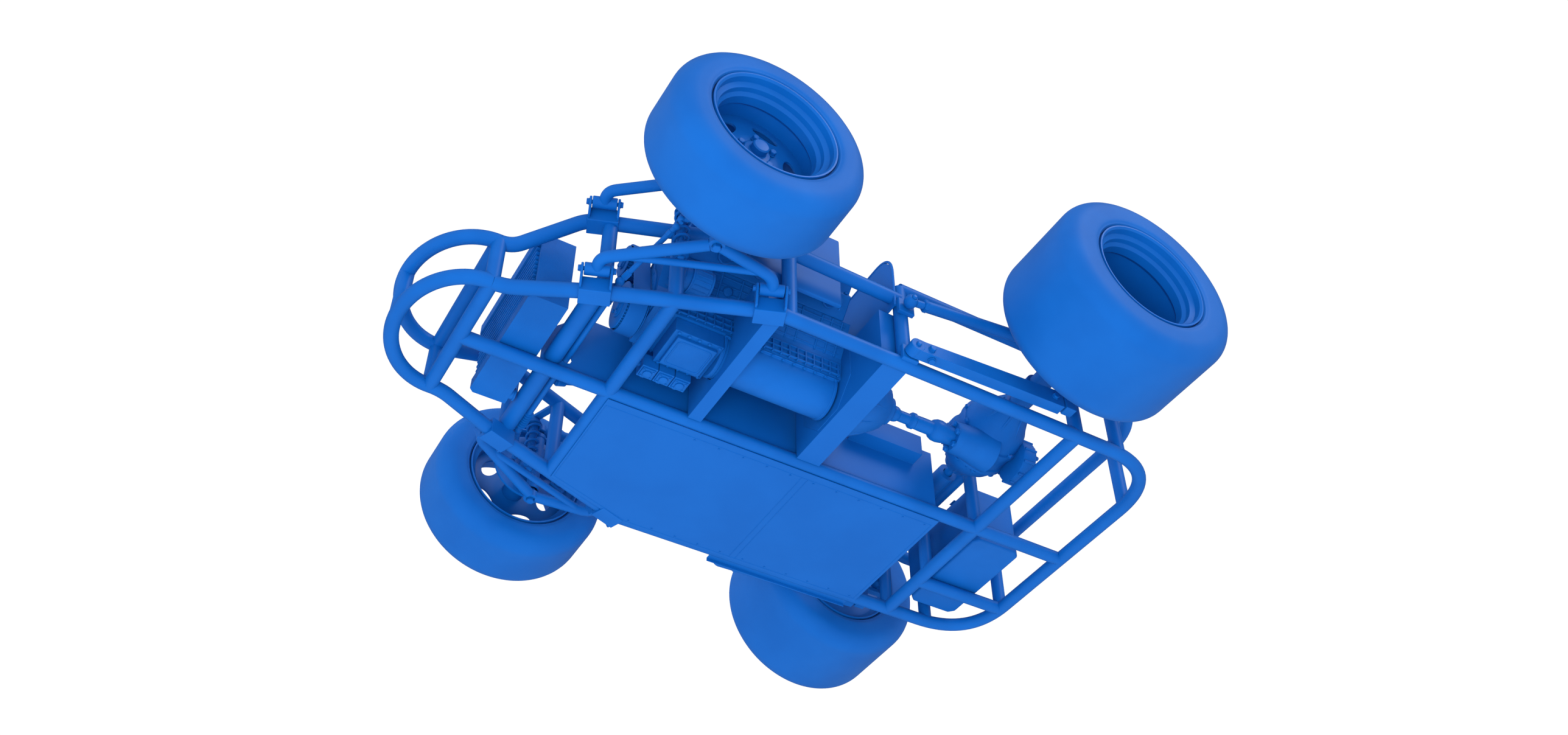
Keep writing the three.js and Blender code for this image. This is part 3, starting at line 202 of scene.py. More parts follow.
# Making pieces.
class Stock:
    """Closed shells gathered for one piece."""

    def __init__(self):
        self.mesh = bmesh.new()

    def loft(self, rings, closed=False):
        made = [[self.mesh.verts.new(p) for p in ring] for ring in rings]
        count = len(made[0])
        pairs = list(zip(made, made[1:])) + ([(made[-1], made[0])] if closed else [])
        for a, b in pairs:
            for k in range(count):
                n = (k + 1) % count
                self.mesh.faces.new((a[k], a[n], b[n], b[k]))
        if not closed:
            self.mesh.faces.new(made[0][::-1])
            self.mesh.faces.new(made[-1])
        return self

    def sweep(self, points, r, sides=24, r2=None):
        rings = []
        across = None
        last = len(points) - 1
        for i, p in enumerate(points):
            before = (points[max(i, 1)] - points[max(i, 1) - 1]).normalized()
            after = (points[min(i, last - 1) + 1] - points[min(i, last - 1)]).normalized()
            along = (before + after).normalized()
            across = along.orthogonal() if across is None else across
            across = (across - along * across.dot(along)).normalized()
            radius = r + ((r if r2 is None else r2) - r) * i / last
            rings.append(hoop(p, along, across, radius, sides))
        return self.loft(rings)

    def rod(self, p, q, r, sides=28, ease=0.0):
        """Straight round bar, its ends eased by a small chamfer."""
        p, q = V(p), V(q)
        if not ease:
            return self.sweep([p, q], r, sides)
        length = (q - p).length
        return self.turn([(r - ease, 0), (r, ease), (r, length - ease), (r - ease, length)], p, q - p, sides)

    def turn(self, profile, centre, axis, steps=64, closed=False):
        """Body turned about an axis: radius and distance along it."""
        axis = V(axis).normalized()
        across = axis.orthogonal().normalized()
        rings = [hoop(V(centre) + axis * h, axis, across, max(r, 0.2), steps) for r, h in profile]
        return self.loft(rings, closed)

    def prism(self, outline, axis, low, high):
        """Outline in the plane square to the axis (x: y and z, y: x and z, z: x and y), given thickness."""
        place = "xyz".index(axis)
        return self.loft([[V((*p[:place], h, *p[place:])) for p in outline] for h in (low, high)])

    def block(self, x0, x1, y0, y1, z0, z1):
        return self.prism([(x0, y0), (x1, y0), (x1, y1), (x0, y1)], "z", z0, z1)

    def ball(self, centre, r, steps=32):
        arc = [(i / 16 - 0.5) * math.pi for i in range(17)]
        return self.turn([(r * math.cos(a), r * math.sin(a)) for a in arc], centre, (0, 0, 1), steps)

    def turned_about_z(self, angle):
        turn = Matrix.Rotation(angle, 3, "Z")
        bmesh.ops.rotate(self.mesh, verts=self.mesh.verts, cent=V((0, 0, 0)), matrix=turn)
        return self

    def built(self, name):
        bmesh.ops.recalc_face_normals(self.mesh, faces=self.mesh.faces)
        bmesh.ops.scale(self.mesh, vec=V((MM, MM, MM)), verts=self.mesh.verts)
        data = bpy.data.meshes.new(name)
        self.mesh.to_mesh(data)
        self.mesh.free()
        made = bpy.data.objects.new(name, data)
        bpy.context.collection.objects.link(made)
        return made


def smoothed(made, angle=32):
    made.data.shade_smooth()
    made.data.set_sharp_from_angle(angle=math.radians(angle))


def settle(made, material, body, nodes=(), ease=0.0):
    """Gives a finished mesh its paint, its rounded edges, the body it rides on and the node it stands for."""
    made.data.materials.clear()
    made.data.materials.append(material)
    smoothed(made)
    if ease:
        bevel = made.modifiers.new("eased edges", "BEVEL")
        bevel.width = ease * MM
        bevel.segments = 3
        bevel.limit_method = "ANGLE"
        bevel.angle_limit = math.radians(34)
        bevel.harden_normals = True
    if body:
        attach(made, body)
    if nodes:
        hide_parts(*nodes)
    return made


def piece(name, stock, material, body, nodes=(), ease=0.0):
    return settle(stock.built(name), material, body, nodes, ease)


def baked(made):
    """The evaluated object as a plain mesh, with its modifiers gone."""
    bpy.context.view_layer.update()
    graph = bpy.context.evaluated_depsgraph_get()
    data = bpy.data.meshes.new_from_object(made.evaluated_get(graph))
    name = made.name
    bpy.data.objects.remove(made)
    plain = bpy.data.objects.new(name, data)
    bpy.context.collection.objects.link(plain)
    return plain


def eased_copy(node, name, material, body, width):
    """A node's own shape, its flat faces whole again and its edges rounded."""
    data = bpy.data.meshes.new(name)
    work = bmesh.new()
    work.from_mesh(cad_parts[node].data)
    bmesh.ops.remove_doubles(work, verts=work.verts, dist=1e-5)
    bmesh.ops.dissolve_limit(work, angle_limit=math.radians(1), verts=work.verts, edges=work.edges)
    work.to_mesh(data)
    work.free()
    made = bpy.data.objects.new(name, data)
    bpy.context.collection.objects.link(made)
    return settle(made, material, body, [node], width)


# Node trees for what follows a path or repeats.
def tree(name, sockets):
    group = bpy.data.node_groups.new(name, "GeometryNodeTree")
    group.interface.new_socket("Geometry", in_out="OUTPUT", socket_type="NodeSocketGeometry")
    group.interface.new_socket("Geometry", in_out="INPUT", socket_type="NodeSocketGeometry")
    keys = {}
    for label, kind in sockets:
        keys[label] = group.interface.new_socket(label, in_out="INPUT", socket_type=kind).identifier
    return group, group.nodes.new("NodeGroupInput"), group.nodes.new("NodeGroupOutput"), keys


def tube_tree():
    group, given, out, keys = tree("bent tube", [
        ("Radius", "NodeSocketFloat"), ("Sides", "NodeSocketInt"), ("Finish", "NodeSocketMaterial")])
    circle = group.nodes.new("GeometryNodeCurvePrimitiveCircle")
    sweep = filled(group.nodes.new("GeometryNodeCurveToMesh"), {"Fill Caps": True})
    real = group.nodes.new("GeometryNodeRealizeInstances")
    paint = group.nodes.new("GeometryNodeSetMaterial")
    wired(group,
          (given, "Radius", circle, "Radius"), (given, "Sides", circle, "Resolution"),
          (given, "Geometry", sweep, "Curve"), (circle, "Curve", sweep, "Profile Curve"),
          (sweep, "Mesh", real, "Geometry"), (real, "Geometry", paint, "Geometry"),
          (given, "Finish", paint, "Material"), (paint, "Geometry", out, "Geometry"))
    return group, keys


def fastener_tree():
    group, given, out, keys = tree("fasteners on points", [
        ("Fastener", "NodeSocketObject"), ("Size", "NodeSocketFloat"), ("Finish", "NodeSocketMaterial")])
    item = filled(group.nodes.new("GeometryNodeObjectInfo"), {"As Instance": True})
    facing = group.nodes.new("GeometryNodeInputNamedAttribute")
    facing.data_type = "FLOAT_VECTOR"
    facing.inputs["Name"].default_value = "facing"
    align = group.nodes.new("FunctionNodeAlignRotationToVector")
    align.axis = "Z"
    put = group.nodes.new("GeometryNodeInstanceOnPoints")
    real = group.nodes.new("GeometryNodeRealizeInstances")
    paint = group.nodes.new("GeometryNodeSetMaterial")
    wired(group,
          (given, "Fastener", item, "Object"), (facing, "Attribute", align, "Vector"),
          (given, "Geometry", put, "Points"), (item, "Geometry", put, "Instance"),
          (align, "Rotation", put, "Rotation"), (given, "Size", put, "Scale"),
          (put, "Instances", real, "Geometry"), (real, "Geometry", paint, "Geometry"),
          (given, "Finish", paint, "Material"), (paint, "Geometry", out, "Geometry"))
    return group, keys


TUBE_RUN, TUBE_KEYS = tube_tree()
FASTENERS, FASTENER_KEYS = fastener_tree()


def tubes(name, runs, radius, material, body, nodes=(), sides=32):
    """Round tubes, one along each run of points."""
    curve = bpy.data.curves.new(name, "CURVE")
    curve.dimensions = "3D"
    for points in runs:
        run = curve.splines.new("POLY")
        run.points.add(len(points) - 1)
        for spot, p in zip(run.points, points):
            spot.co = (*(p * MM), 1)
    made = bpy.data.objects.new(name, curve)
    bpy.context.collection.objects.link(made)
    sweep = made.modifiers.new("bent tube", "NODES")
    sweep.node_group = TUBE_RUN
    sweep[TUBE_KEYS["Radius"]] = radius * MM
    sweep[TUBE_KEYS["Sides"]] = sides
    sweep[TUBE_KEYS["Finish"]] = material
    return settle(baked(made), material, body, nodes)


def fastener(name, head, across_flats, washer):
    """Hexagon head on a washer, standing on its own origin."""
    stock = Stock()
    stock.turn([(washer - 0.6, 0), (washer, 0.6), (washer, 2.0), (washer - 0.6, 2.4)], (0, 0, 0), (0, 0, 1), 24)
    flat = across_flats / math.sqrt(3)
    stock.turn([(flat, 2.0), (flat, 2.0 + head - 1.2), (flat - 1.6, 2.0 + head)], (0, 0, 0), (0, 0, 1), 6)
    made = stock.built(name)
    smoothed(made)
    made.hide_render = True
    return made


HEX_HEAD = fastener("hex_head_pattern", 7, 17, 11)
STUD_NUT = fastener("stud_nut_pattern", 10, 15, 9.5)


def bolts(name, spots, size, body, item=HEX_HEAD, material=MACHINED):
    """Fasteners at the given points, each facing the given way."""
    data = bpy.data.meshes.new(name)
    data.from_pydata([V(p) * MM for p, _ in spots], [], [])
    ways = data.attributes.new("facing", "FLOAT_VECTOR", "POINT")
    for i, (_, way) in enumerate(spots):
        ways.data[i].vector = V(way).normalized()
    made = bpy.data.objects.new(name, data)
    bpy.context.collection.objects.link(made)
    spread = made.modifiers.new("fasteners", "NODES")
    spread.node_group = FASTENERS
    spread[FASTENER_KEYS["Fastener"]] = item
    spread[FASTENER_KEYS["Size"]] = size
    spread[FASTENER_KEYS["Finish"]] = material
    return settle(baked(made), material, body, ())


def circle_of(centre, axis, radius, count, start=0.0):
    """Points evenly round an axis, each facing along it."""
    axis = V(axis).normalized()
    return [(p, axis) for p in hoop(V(centre), axis, axis.orthogonal().normalized(), radius, count, start)]


def casting(name, stock, ease=0.0, nodes=()):
    """Cast piece of the engine."""
    return piece(name, stock, CASTING, "chassis", nodes, ease)


# Welded frame.
def build_frame():
    across = [V((NOSE_X, -NOSE_HALF, 0)), V((NOSE_X, NOSE_HALF, 0))]
    nose = [nose_loop(LOWER_Z), nose_loop(NOSE_Z), post(NOSE_X + NOSE_DEPTH, 0, NOSE_Z)]
    nose += [[p + V((0, 0, z)) for p in across] for z in (LOWER_Z, NOSE_Z)]
    nose += [post(NOSE_X, side * NOSE_HALF, NOSE_Z) for side, _ in SIDES]
    tubes("nose_loops", nose, TUBE_R, FRAME_PAINT, "chassis", ["frame_nose"])
    for side, name in SIDES:
        runs = [side_rail(side, False), side_rail(side, True), kick_rail(side)]
        for x, top in ((CROSS_X, 408), (DASH_X, 400), (MID_X, 400), (PLATE_X, KICK_Z), (TAIL_X, KICK_Z - 30)):
            runs.append(post(x, side * rail_y(x), top))
        tubes("side_frame_" + name, runs, TUBE_R, FRAME_PAINT, "chassis", ["frame_side_" + name])
    tail = [tail_loop(LOWER_Z), tail_loop(REAR_Z)]
    for side, _ in SIDES:
        tail += [post(BUMPER_X, side * 365, REAR_Z), post(BUMPER_X + 201, side * HALF_WIDTH, REAR_Z)]
    tubes("tail_loops", tail, TUBE_R, FRAME_PAINT, "chassis", ["frame_tail"])
    floor = [[V((NOSE_X, 0, LOWER_Z)), V((BUMPER_X, 0, LOWER_Z))]]
    floor += [[V((x, -rail_y(x), LOWER_Z)), V((x, rail_y(x), LOWER_Z))] for x in (DASH_X, TAIL_X)]
    floor += [[V((TAIL_X, -368, LOWER_Z)), V((BUMPER_X, -368, LOWER_Z))],
              [V((TAIL_X, -HALF_WIDTH, REAR_Z)), V((TAIL_X, TUBE_R, REAR_Z))],
              post(TAIL_X, 0, REAR_Z), post(TAIL_X, -308, REAR_Z)]
    tubes("floor_frame", floor, TUBE_R, FRAME_PAINT, "chassis", ["frame_floor"])
    run = [V((CROSS_X, end * 368, CROSS_TUBE_Z)) for end in (-1, 1)]
    tubes("front_cross_tube", [run], CROSS_TUBE_R, FRAME_PAINT, "chassis", ())


RAIL_ANGLE = math.atan2(HALF_WIDTH - KINK_Y, KINK_X - SPLAY_X)
ALONG, OUT = (math.cos(RAIL_ANGLE), -math.sin(RAIL_ANGLE)), (math.sin(RAIL_ANGLE), math.cos(RAIL_ANGLE))


def upper_rail_z(x):
    return FRONT_Z + (830 - x) / (830 - SPLAY_X) * (MID_Z - FRONT_Z)


def at_bracket(side, x, s, u, z):
    """Point s forward along the rail and u outward from it, at the bracket at x."""
    return V((x + s * ALONG[0] + u * OUT[0], side * (rail_y(x) + s * ALONG[1] + u * OUT[1]), z))


def build_brackets(side, name):
    """Clamps round the rails, with two ears each, and the bolts through them."""
    stock, spots = Stock(), []
    for x in BRACKETS:
        for rail_z, pivot_z in ((LOWER_Z, LOWER_PIVOT_Z), (upper_rail_z(x), UPPER_PIVOT_Z)):
            clamp = Stock()
            clamp.block(-49, 49, -30, 30, rail_z - 30, rail_z + 30)
            outline = ((4, rail_z + 4), (30, rail_z - 22), (44, rail_z - 22), (69, pivot_z - 8),
                       (69, pivot_z + 9), (60, pivot_z + 17), (44, pivot_z + 17), (4, rail_z + 29))
            ear = [(side * u, z) for u, z in outline]
            clamp.prism(ear, "x", 41, 49)
            clamp.prism(ear, "x", -49, -41)
            clamp.turned_about_z(-side * RAIL_ANGLE)
            bmesh.ops.translate(clamp.mesh, verts=clamp.mesh.verts, vec=V((x, side * rail_y(x), 0)))
            data = bpy.data.meshes.new("clamp")
            clamp.mesh.to_mesh(data)
            stock.mesh.from_mesh(data)
            bpy.data.meshes.remove(data)
            for end in (-1, 1):
                way = V((end * ALONG[0], end * side * ALONG[1], 0))
                spots.append((at_bracket(side, x, end * 49, PIVOT_OUT, pivot_z), way))
            stock.rod(*(at_bracket(side, x, end, PIVOT_OUT, pivot_z) for end in (-48, 48)), 6.8)
    piece("arm_brackets_" + name, stock, FRAME_PAINT, "chassis", (), 2.5)
    bolts("bracket_bolts_" + name, spots, 1.0, "chassis")
    lugs, spots = Stock(), []
    for z in (TRAIL_PIVOT_Z, LINK_PIVOT_Z):
        y = sorted((side * 599, side * 616))
        lugs.block(PLATE_X - 30, PLATE_X + 30, *y, z - 30, z + 30)
        lugs.rod((PLATE_X, side * 612, z), (PLATE_X, side * 668, z), 8.8)
        spots.append(((PLATE_X, side * 663, z), (0, side, 0)))
    piece("trailing_lugs_" + name, lugs, FRAME_PAINT, "chassis", (), 3)
    bolts("lug_bolts_" + name, spots, 0.7, "chassis")


# Floor, tunnel wall, cowl, side panel, fuel cell.
def build_panels():
    front, back = DASH_X - 4, TAIL_X + 156
    edge = [(front, -8), (front, -rail_y(DASH_X) + 6), (230, -570), (back, -570), (back, -8)]
    pan = Stock().prism(edge, "z", FLOOR_UNDER, FLOOR_UNDER + 3)
    piece("floor_sheet", pan, PANEL_PAINT, "chassis", ["floor_pan"], 0.6)
    seams = Stock()
    inner = [(548, -38), (548, -rail_y(548) + 22), (226, -556), (-723, -556), (-723, -38)]
    for a, b in zip(inner, inner[1:] + inner[:1]):
        seams.sweep([V((*a, 68.5)), V((*b, 68.5))], 0.9, 8)
    for x in (PLATE_X - 12, PLATE_X + 12):
        seams.sweep([V((x, -40, 68.5)), V((x, -554, 68.5))], 0.9, 8)
    piece("floor_seams", seams, PANEL_PAINT, "chassis", ())
    rivets = [((x, y, FLOOR_UNDER), (0, 0, -1)) for x in range(-700, 221, 92) for y in (-47, -547)]
    bolts("floor_rivets", rivets, 0.28, "chassis", material=PANEL_PAINT)
    skirt = Stock().block(-716, -130, -615, -592, 78, 81)
    skirt.block(-716, -130, -617, -614, 66, 81)
    piece("side_skirt", skirt, PANEL_PAINT, "chassis", (), 0.6)
    for node, name, width, slot, paint in (("tunnel_wall", "tunnel_sheet", 0.8, "sheet", PANEL_PAINT),
                                           ("cowl_panel", "cowl_sheet", 1.2, "sheet", PANEL_PAINT),
                                           ("side_panel_left", "side_box", 6, "sheet", PANEL_PAINT),
                                           ("fuel_cell", "fuel_cell_case", 9, "fuel_cell", CELL_SHELL),
                                           ("radiator_tanks", "radiator_end_tanks", 5, "radiator", CASTING),
                                           ("intake_manifold", "intake_casting", 7, "engine_casting", CASTING),
                                           ("engine_mount_rear", "rear_engine_plate", 3, "sheet", PANEL_PAINT),
                                           ("seat", "seat_bucket", 12, "seat", SEAT_SHELL)):
        eased_copy(node, name, paint, "chassis", width)
    trim = Stock()
    for x in (-15, 330):
        trim.block(x - 3, x + 3, 494, 500, 322, 638)
    trim.block(-12, 327, 494, 500, 440, 443)
    trim.block(140, 176, 484, 500, 470, 496)
    trim.rod((158, 486, 483), (158, 476, 483), 9, ease=1.5)
    piece("side_box_latch", trim, PANEL_PAINT, "chassis", (), 1)
    lip = [V((COWL_X, 14, 336)), V((COWL_X, 14, 590)), V((COWL_X, 596, 590)), V((COWL_X, 596, 336))]
    tubes("cowl_rim", [rounded(lip, 95, 14)], 5, PANEL_PAINT, "chassis", (), 12)
    ribs = Stock()
    for x in (-600, -480, -340, 60, 240, 420):
        ribs.block(x - 9, x + 9, -4.5, -1.9, 134, 352)
    piece("tunnel_ribs", ribs, PANEL_PAINT, "chassis", (), 2)
    cell = Stock()
    cell.turn([(52, 0), (52, 6), (46, 9)], (-1052, -300, 364.6), (0, 0, 1), 48)
    cell.turn([(30, 9), (30, 16), (26, 20)], (-1052, -300, 364.6), (0, 0, 1), 40)
    for y in (-400, -190):
        cell.block(-1157, -947, y - 16, y + 16, 364.4, 366.4)
    piece("fuel_cell_cap", cell, CELL_SHELL, "chassis", (), 1.5)
    studs = circle_of((-1052, -300, 370.6), (0, 0, 1), 44, 12)
    bolts("fuel_cell_studs", studs, 0.45, "chassis", STUD_NUT)


# Radiator.
def build_radiator():
    core = Stock()
    core.block(828, 922, -241, 241, 161, 366)
    for i in range(10):
        z = 161 + (i + 0.5) * 20.5
        core.block(922, 938, -230, 230, z - 3.2, z + 3.2)
        core.block(824, 828, -230, 230, z - 3.2, z + 3.2)
    piece("radiator_fins", core, CASTING, "chassis", ["radiator_core"], 1.2)
    fins = Stock()
    for i in range(57):
        y = -228 + i * 8.14
        fins.block(921, 927, y - 0.8, y + 0.8, 163, 364)
    piece("radiator_matrix", fins, CASTING, "chassis", ())
    necks = Stock()
    necks.rod((880, 190, 400), (880, 190, 428), 21, ease=2).rod((880, 190, 420), (880, 190, 427), 25, ease=2)
    necks.turn([(27, 0), (30, 3), (30, 9), (26, 12)], (880, -150, 405), (0, 0, 1), 10)
    necks.rod((840, -215, 140), (800, -215, 140), 19, ease=2)
    necks.rod((806, -215, 140), (799, -215, 140), 22, ease=2)
    piece("radiator_necks", necks, CASTING, "chassis", ())


# Engine.
def build_engine():
    eased_copy("engine_block", "engine_casting_block", CASTING, "chassis", 4)
    ribs = Stock()
    for side, _ in SIDES:
        foot, top = V((0, ENGINE_Y + side * 97, 292)), V((0, ENGINE_Y + side * 163, 398))
        slope = (top - foot).normalized()
        way = V((0, side * slope.z, -slope.y))
        for i in range(17):
            x = BLOCK_BACK + 30 + i * 38
            if i % 4 == 3:
                continue
            a, b = foot + V((x, 0, 0)), top + V((x, 0, 0))
            ribs.sweep([a + way * 2, b + way * 2], 4.2, 10)
        for k in range(5):
            p = foot.lerp(top, 0.1 + k * 0.2) + way * 1.5
            ribs.sweep([V((BLOCK_BACK + 16, p.y, p.z)), V((BLOCK_FRONT - 24, p.y, p.z))], 3.4, 10)
        for i in range(5):
            x = BLOCK_BACK + 70 + i * 128
            p = foot.lerp(top, 0.55) + V((x, 0, 0))
            ribs.turn([(17, -2), (17, 8), (13, 12), (6, 13)], p, way, 24)
        for i in range(22):
            x = BLOCK_BACK + 16 + i * 31
            y = ENGINE_Y + side * 96
            ribs.block(x - 2.5, x + 2.5, *sorted((y, y + side * 9)), 207, 262)
        for z in (214, 238, 262):
            y = ENGINE_Y + side * 97
            ribs.block(BLOCK_BACK + 8, BLOCK_FRONT - 20, *sorted((y, y + side * 7)), z - 2, z + 2)
    casting("block_ribs", ribs, 0.8)
    front = Stock()
    front.turn([(96, -4), (96, 5), (88, 9), (60, 12)], (561, ENGINE_Y, 330), (1, 0, 0), 48)
    front.block(559, 566, ENGINE_Y - 78, ENGINE_Y + 78, 214, 410)
    front.turn([(44, 0), (44, 8), (30, 12)], (562, ENGINE_Y - 105, 360), (1, 0, 0), 28)
    casting("timing_cover", front, 2.5)
    ring = circle_of((566, ENGINE_Y, 330), (1, 0, 0), 86, 12)
    bolts("timing_cover_bolts", ring, 0.6, "chassis")
    for side, name in SIDES:
        eased_copy(f"cylinder_head_{name}", f"head_casting_{name}", CASTING, "chassis", 6)
        deck = V((0, side * 77, -66)).normalized()
        up = V((0, side * 66, 77)).normalized()
        start = V((0, ENGINE_Y + side * 165, 400))
        detail, spots = Stock(), []
        for i in range(4):
            x = BLOCK_BACK + 105 + i * 132
            port = start + V((x, 0, 0)) + up * 46 + deck * 3
            detail.turn([(25, 0), (25, 9), (20, 11), (17, 70), (17, 78)], port, deck, 28)
        for i in range(10):
            spots.append((start + V((BLOCK_BACK + 52 + i * 62, 0, 0)) + up * 91 - deck * 2, up))
        casting(f"exhaust_stubs_{name}", detail)
        bolts(f"cover_bolts_{name}", spots, 0.7, "chassis")
    alternator = Stock()
    hub = V((489, ENGINE_Y + 172, 292))
    alternator.turn([(20, -78), (44, -72), (49, -66), (49, -8), (44, -2)], hub, (1, 0, 0), 48)
    alternator.turn([(43, 18), (43, 21), (12, 21), (12, 18)], hub, (1, 0, 0), 48, closed=True)
    alternator.turn([(14, 0), (14, 30), (9, 34)], hub, (1, 0, 0), 24)
    for a in angles(14):
        alternator.sweep([hub + spoke(a) * r + V((10, 0, 0)) for r in (14, 42)], 3.2, 8)
    for a in angles(18):
        alternator.sweep([hub + spoke(a) * 49 + V((x, 0, 0)) for x in (-64, -12)], 2, 8)
    casting("alternator", alternator)
    build_pan()
    build_drive()
    build_bellhousing()


def build_pan():
    arc = [math.pi + i / 28 * math.pi for i in range(29)]
    half = [(ENGINE_Y + 82 * math.cos(a), 199 + 82 * math.sin(a)) for a in arc]
    pan = Stock()
    flange = [(ENGINE_Y + y, z) for y, z in ((92, 199), (92, 204.6), (-92, 204.6), (-92, 199))]
    pan.prism(half + flange, "x", -123, 306)
    for x in (-121, 292):
        ring = [(ENGINE_Y + 86 * math.cos(a), 201 + 86 * math.sin(a)) for a in arc]
        pan.prism(ring, "x", x, x + 12)
    pan.block(305, 478, ENGINE_Y - 83, ENGINE_Y + 83, 148, 204.6)
    pan.block(321, 462, ENGINE_Y - 66, ENGINE_Y + 66, 134, 149)
    casting("oil_pan_casting", pan, 6, ["oil_pan"])
    rim = [V((x, ENGINE_Y + y, 134.5)) for x, y in ((333, -54), (450, -54), (450, 54), (333, 54), (333, -54))]
    middle = rim[0].lerp(rim[1], 0.5)
    relief = rounded([middle, *rim[1:], middle], 16)
    tubes("sump_relief", [relief], 3, CASTING, "chassis", (), 12)
    edge = [((x, ENGINE_Y + side * 88, 199), (0, 0, -1)) for side, _ in SIDES for x in range(-110, 300, 40)]
    edge += [((x, ENGINE_Y + side * 76, 148), (0, 0, -1)) for side, _ in SIDES for x in range(318, 478, 36)]
    bolts("pan_bolts", edge, 0.55, "chassis")
    pump = Stock()
    y0 = ENGINE_Y - 138
    for i in range(3):
        x = 337 + i * 58
        pump.block(x, x + 55, y0, y0 + 54, 119, 171)
        pump.block(x + 5, x + 50, y0 + 6, y0 + 48, 114, 120)
        pump.turn([(15, 0), (15, 5), (11, 7), (5, 7.5)], (x + 27.5, y0 + 27, 114.5), (0, 0, -1), 32)
        pump.rod((x + 27.5, y0 + 2, 150), (x + 27.5, y0 - 20, 150), 13, ease=1.5)
        pump.turn([(16, 0), (18, 3), (18, 9), (16, 12)], (x + 27.5, y0 - 6, 150), (0, -1, 0), 12)
    pump.rod((330, y0 + 27, 145), (520, y0 + 27, 145), 9)
    casting("scavenge_pump", pump, 2)
    corners = [((337 + i * 58 + dx, y0 + dy, 114), (0, 0, -1))
               for i in range(3) for dx in (11, 44) for dy in (12, 42)]
    bolts("pump_screws", corners, 0.35, "chassis")


def toothed_pulley(z, r, teeth):
    stock = Stock()
    stock.turn([(r - 9, 3), (r - 9, 71)], (568, ENGINE_Y, z), (1, 0, 0), 64)
    for x in (568, 638):
        stock.turn([(r - 1.5, 0), (r, 1.2), (r, 3.4), (r - 1.5, 4.2)], (x, ENGINE_Y, z), (1, 0, 0), 72)
    centre = V((0, ENGINE_Y, z))
    half = r * math.pi / teeth * 0.5
    for a in angles(teeth):
        way = spoke(a)
        cross = spoke(a + math.pi / 2) * half
        root, tip = centre + way * (r - 12), centre + way * (r - 3)
        tooth = (root - cross, root + cross, tip + cross * 0.8, tip - cross * 0.8)
        stock.loft([[p + V((x, 0, 0)) for p in tooth] for x in (571, 639)])
    stock.turn([(r * 0.55, 0), (r * 0.55, 5), (r * 0.5, 7)], (641, ENGINE_Y, z), (1, 0, 0), 48)
    stock.turn([(22, 0), (22, 9), (19, 11)], (641, ENGINE_Y, z), (1, 0, 0), 32)
    return stock


def build_drive():
    for node, z, r, teeth in (("crank_pulley", CRANK_Z, CRANK_R, 44),
                              ("upper_pulley", UPPER_PULLEY_Z, UPPER_PULLEY_R, 30)):
        piece(node + "_toothed", toothed_pulley(z, r, teeth), MACHINED, node, [node])
        bolts(node + "_bolts", circle_of((646, ENGINE_Y, z), (1, 0, 0), r * 0.4, 5), 0.75, node)
    lean = math.asin((CRANK_R - UPPER_PULLEY_R) / (UPPER_PULLEY_Z - CRANK_Z))

    def loop(grow):
        near, far = UPPER_PULLEY_R + grow, CRANK_R + grow
        upper = [(UPPER_PULLEY_Z, near, lean + i / 24 * (math.pi - 2 * lean)) for i in range(25)]
        lower = [(CRANK_Z, far, math.pi - lean + i / 32 * (math.pi + 2 * lean)) for i in range(33)]
        return [(ENGINE_Y + r * math.cos(a), z + r * math.sin(a)) for z, r, a in upper + lower]

    inner, outer = loop(2), loop(8)
    rings = [[V((576, *a)), V((576, *b)), V((634, *b)), V((634, *a))] for a, b in zip(inner, outer)]
    belt = Stock().loft(rings, closed=True)
    piece("toothed_belt", belt, BELT_RUBBER, "chassis", ["drive_belt"], 1)


def build_bellhousing():
    eighths = angles(8, math.pi / 8)
    octagon = [(ENGINE_Y + 163 * math.cos(a), CRANK_Z + 163 * math.sin(a)) for a in eighths]
    bell = Stock().prism(octagon, "x", PLATE_X - 16, PLATE_X + 73)
    bell.turn([(149, 0), (147, 12), (118, 70), (84, 122), (74, 134)],
              (PLATE_X - 15, ENGINE_Y, CRANK_Z), (-1, 0, 0), 72)
    bell.turn([(58, 0), (58, 6), (52, 14), (48, 30)], (PLATE_X - 148, ENGINE_Y, CRANK_Z), (-1, 0, 0), 48)
    for a in angles(12, math.pi / 12):
        rib = ((14, 150), (70, 124), (146, 72))
        bell.sweep([V((PLATE_X - back, ENGINE_Y, CRANK_Z)) + spoke(a) * r for back, r in rib], 5, 10)
    casting("bell_casting", bell, 3, ["bellhousing"])
    ring = circle_of((PLATE_X - 16, ENGINE_Y, CRANK_Z), (-1, 0, 0), 155, 16, 0.2)
    bolts("bell_bolts", ring, 0.8, "chassis")
    eased_copy("engine_mount_front", "front_engine_plate", PANEL_PAINT, "chassis", 3)


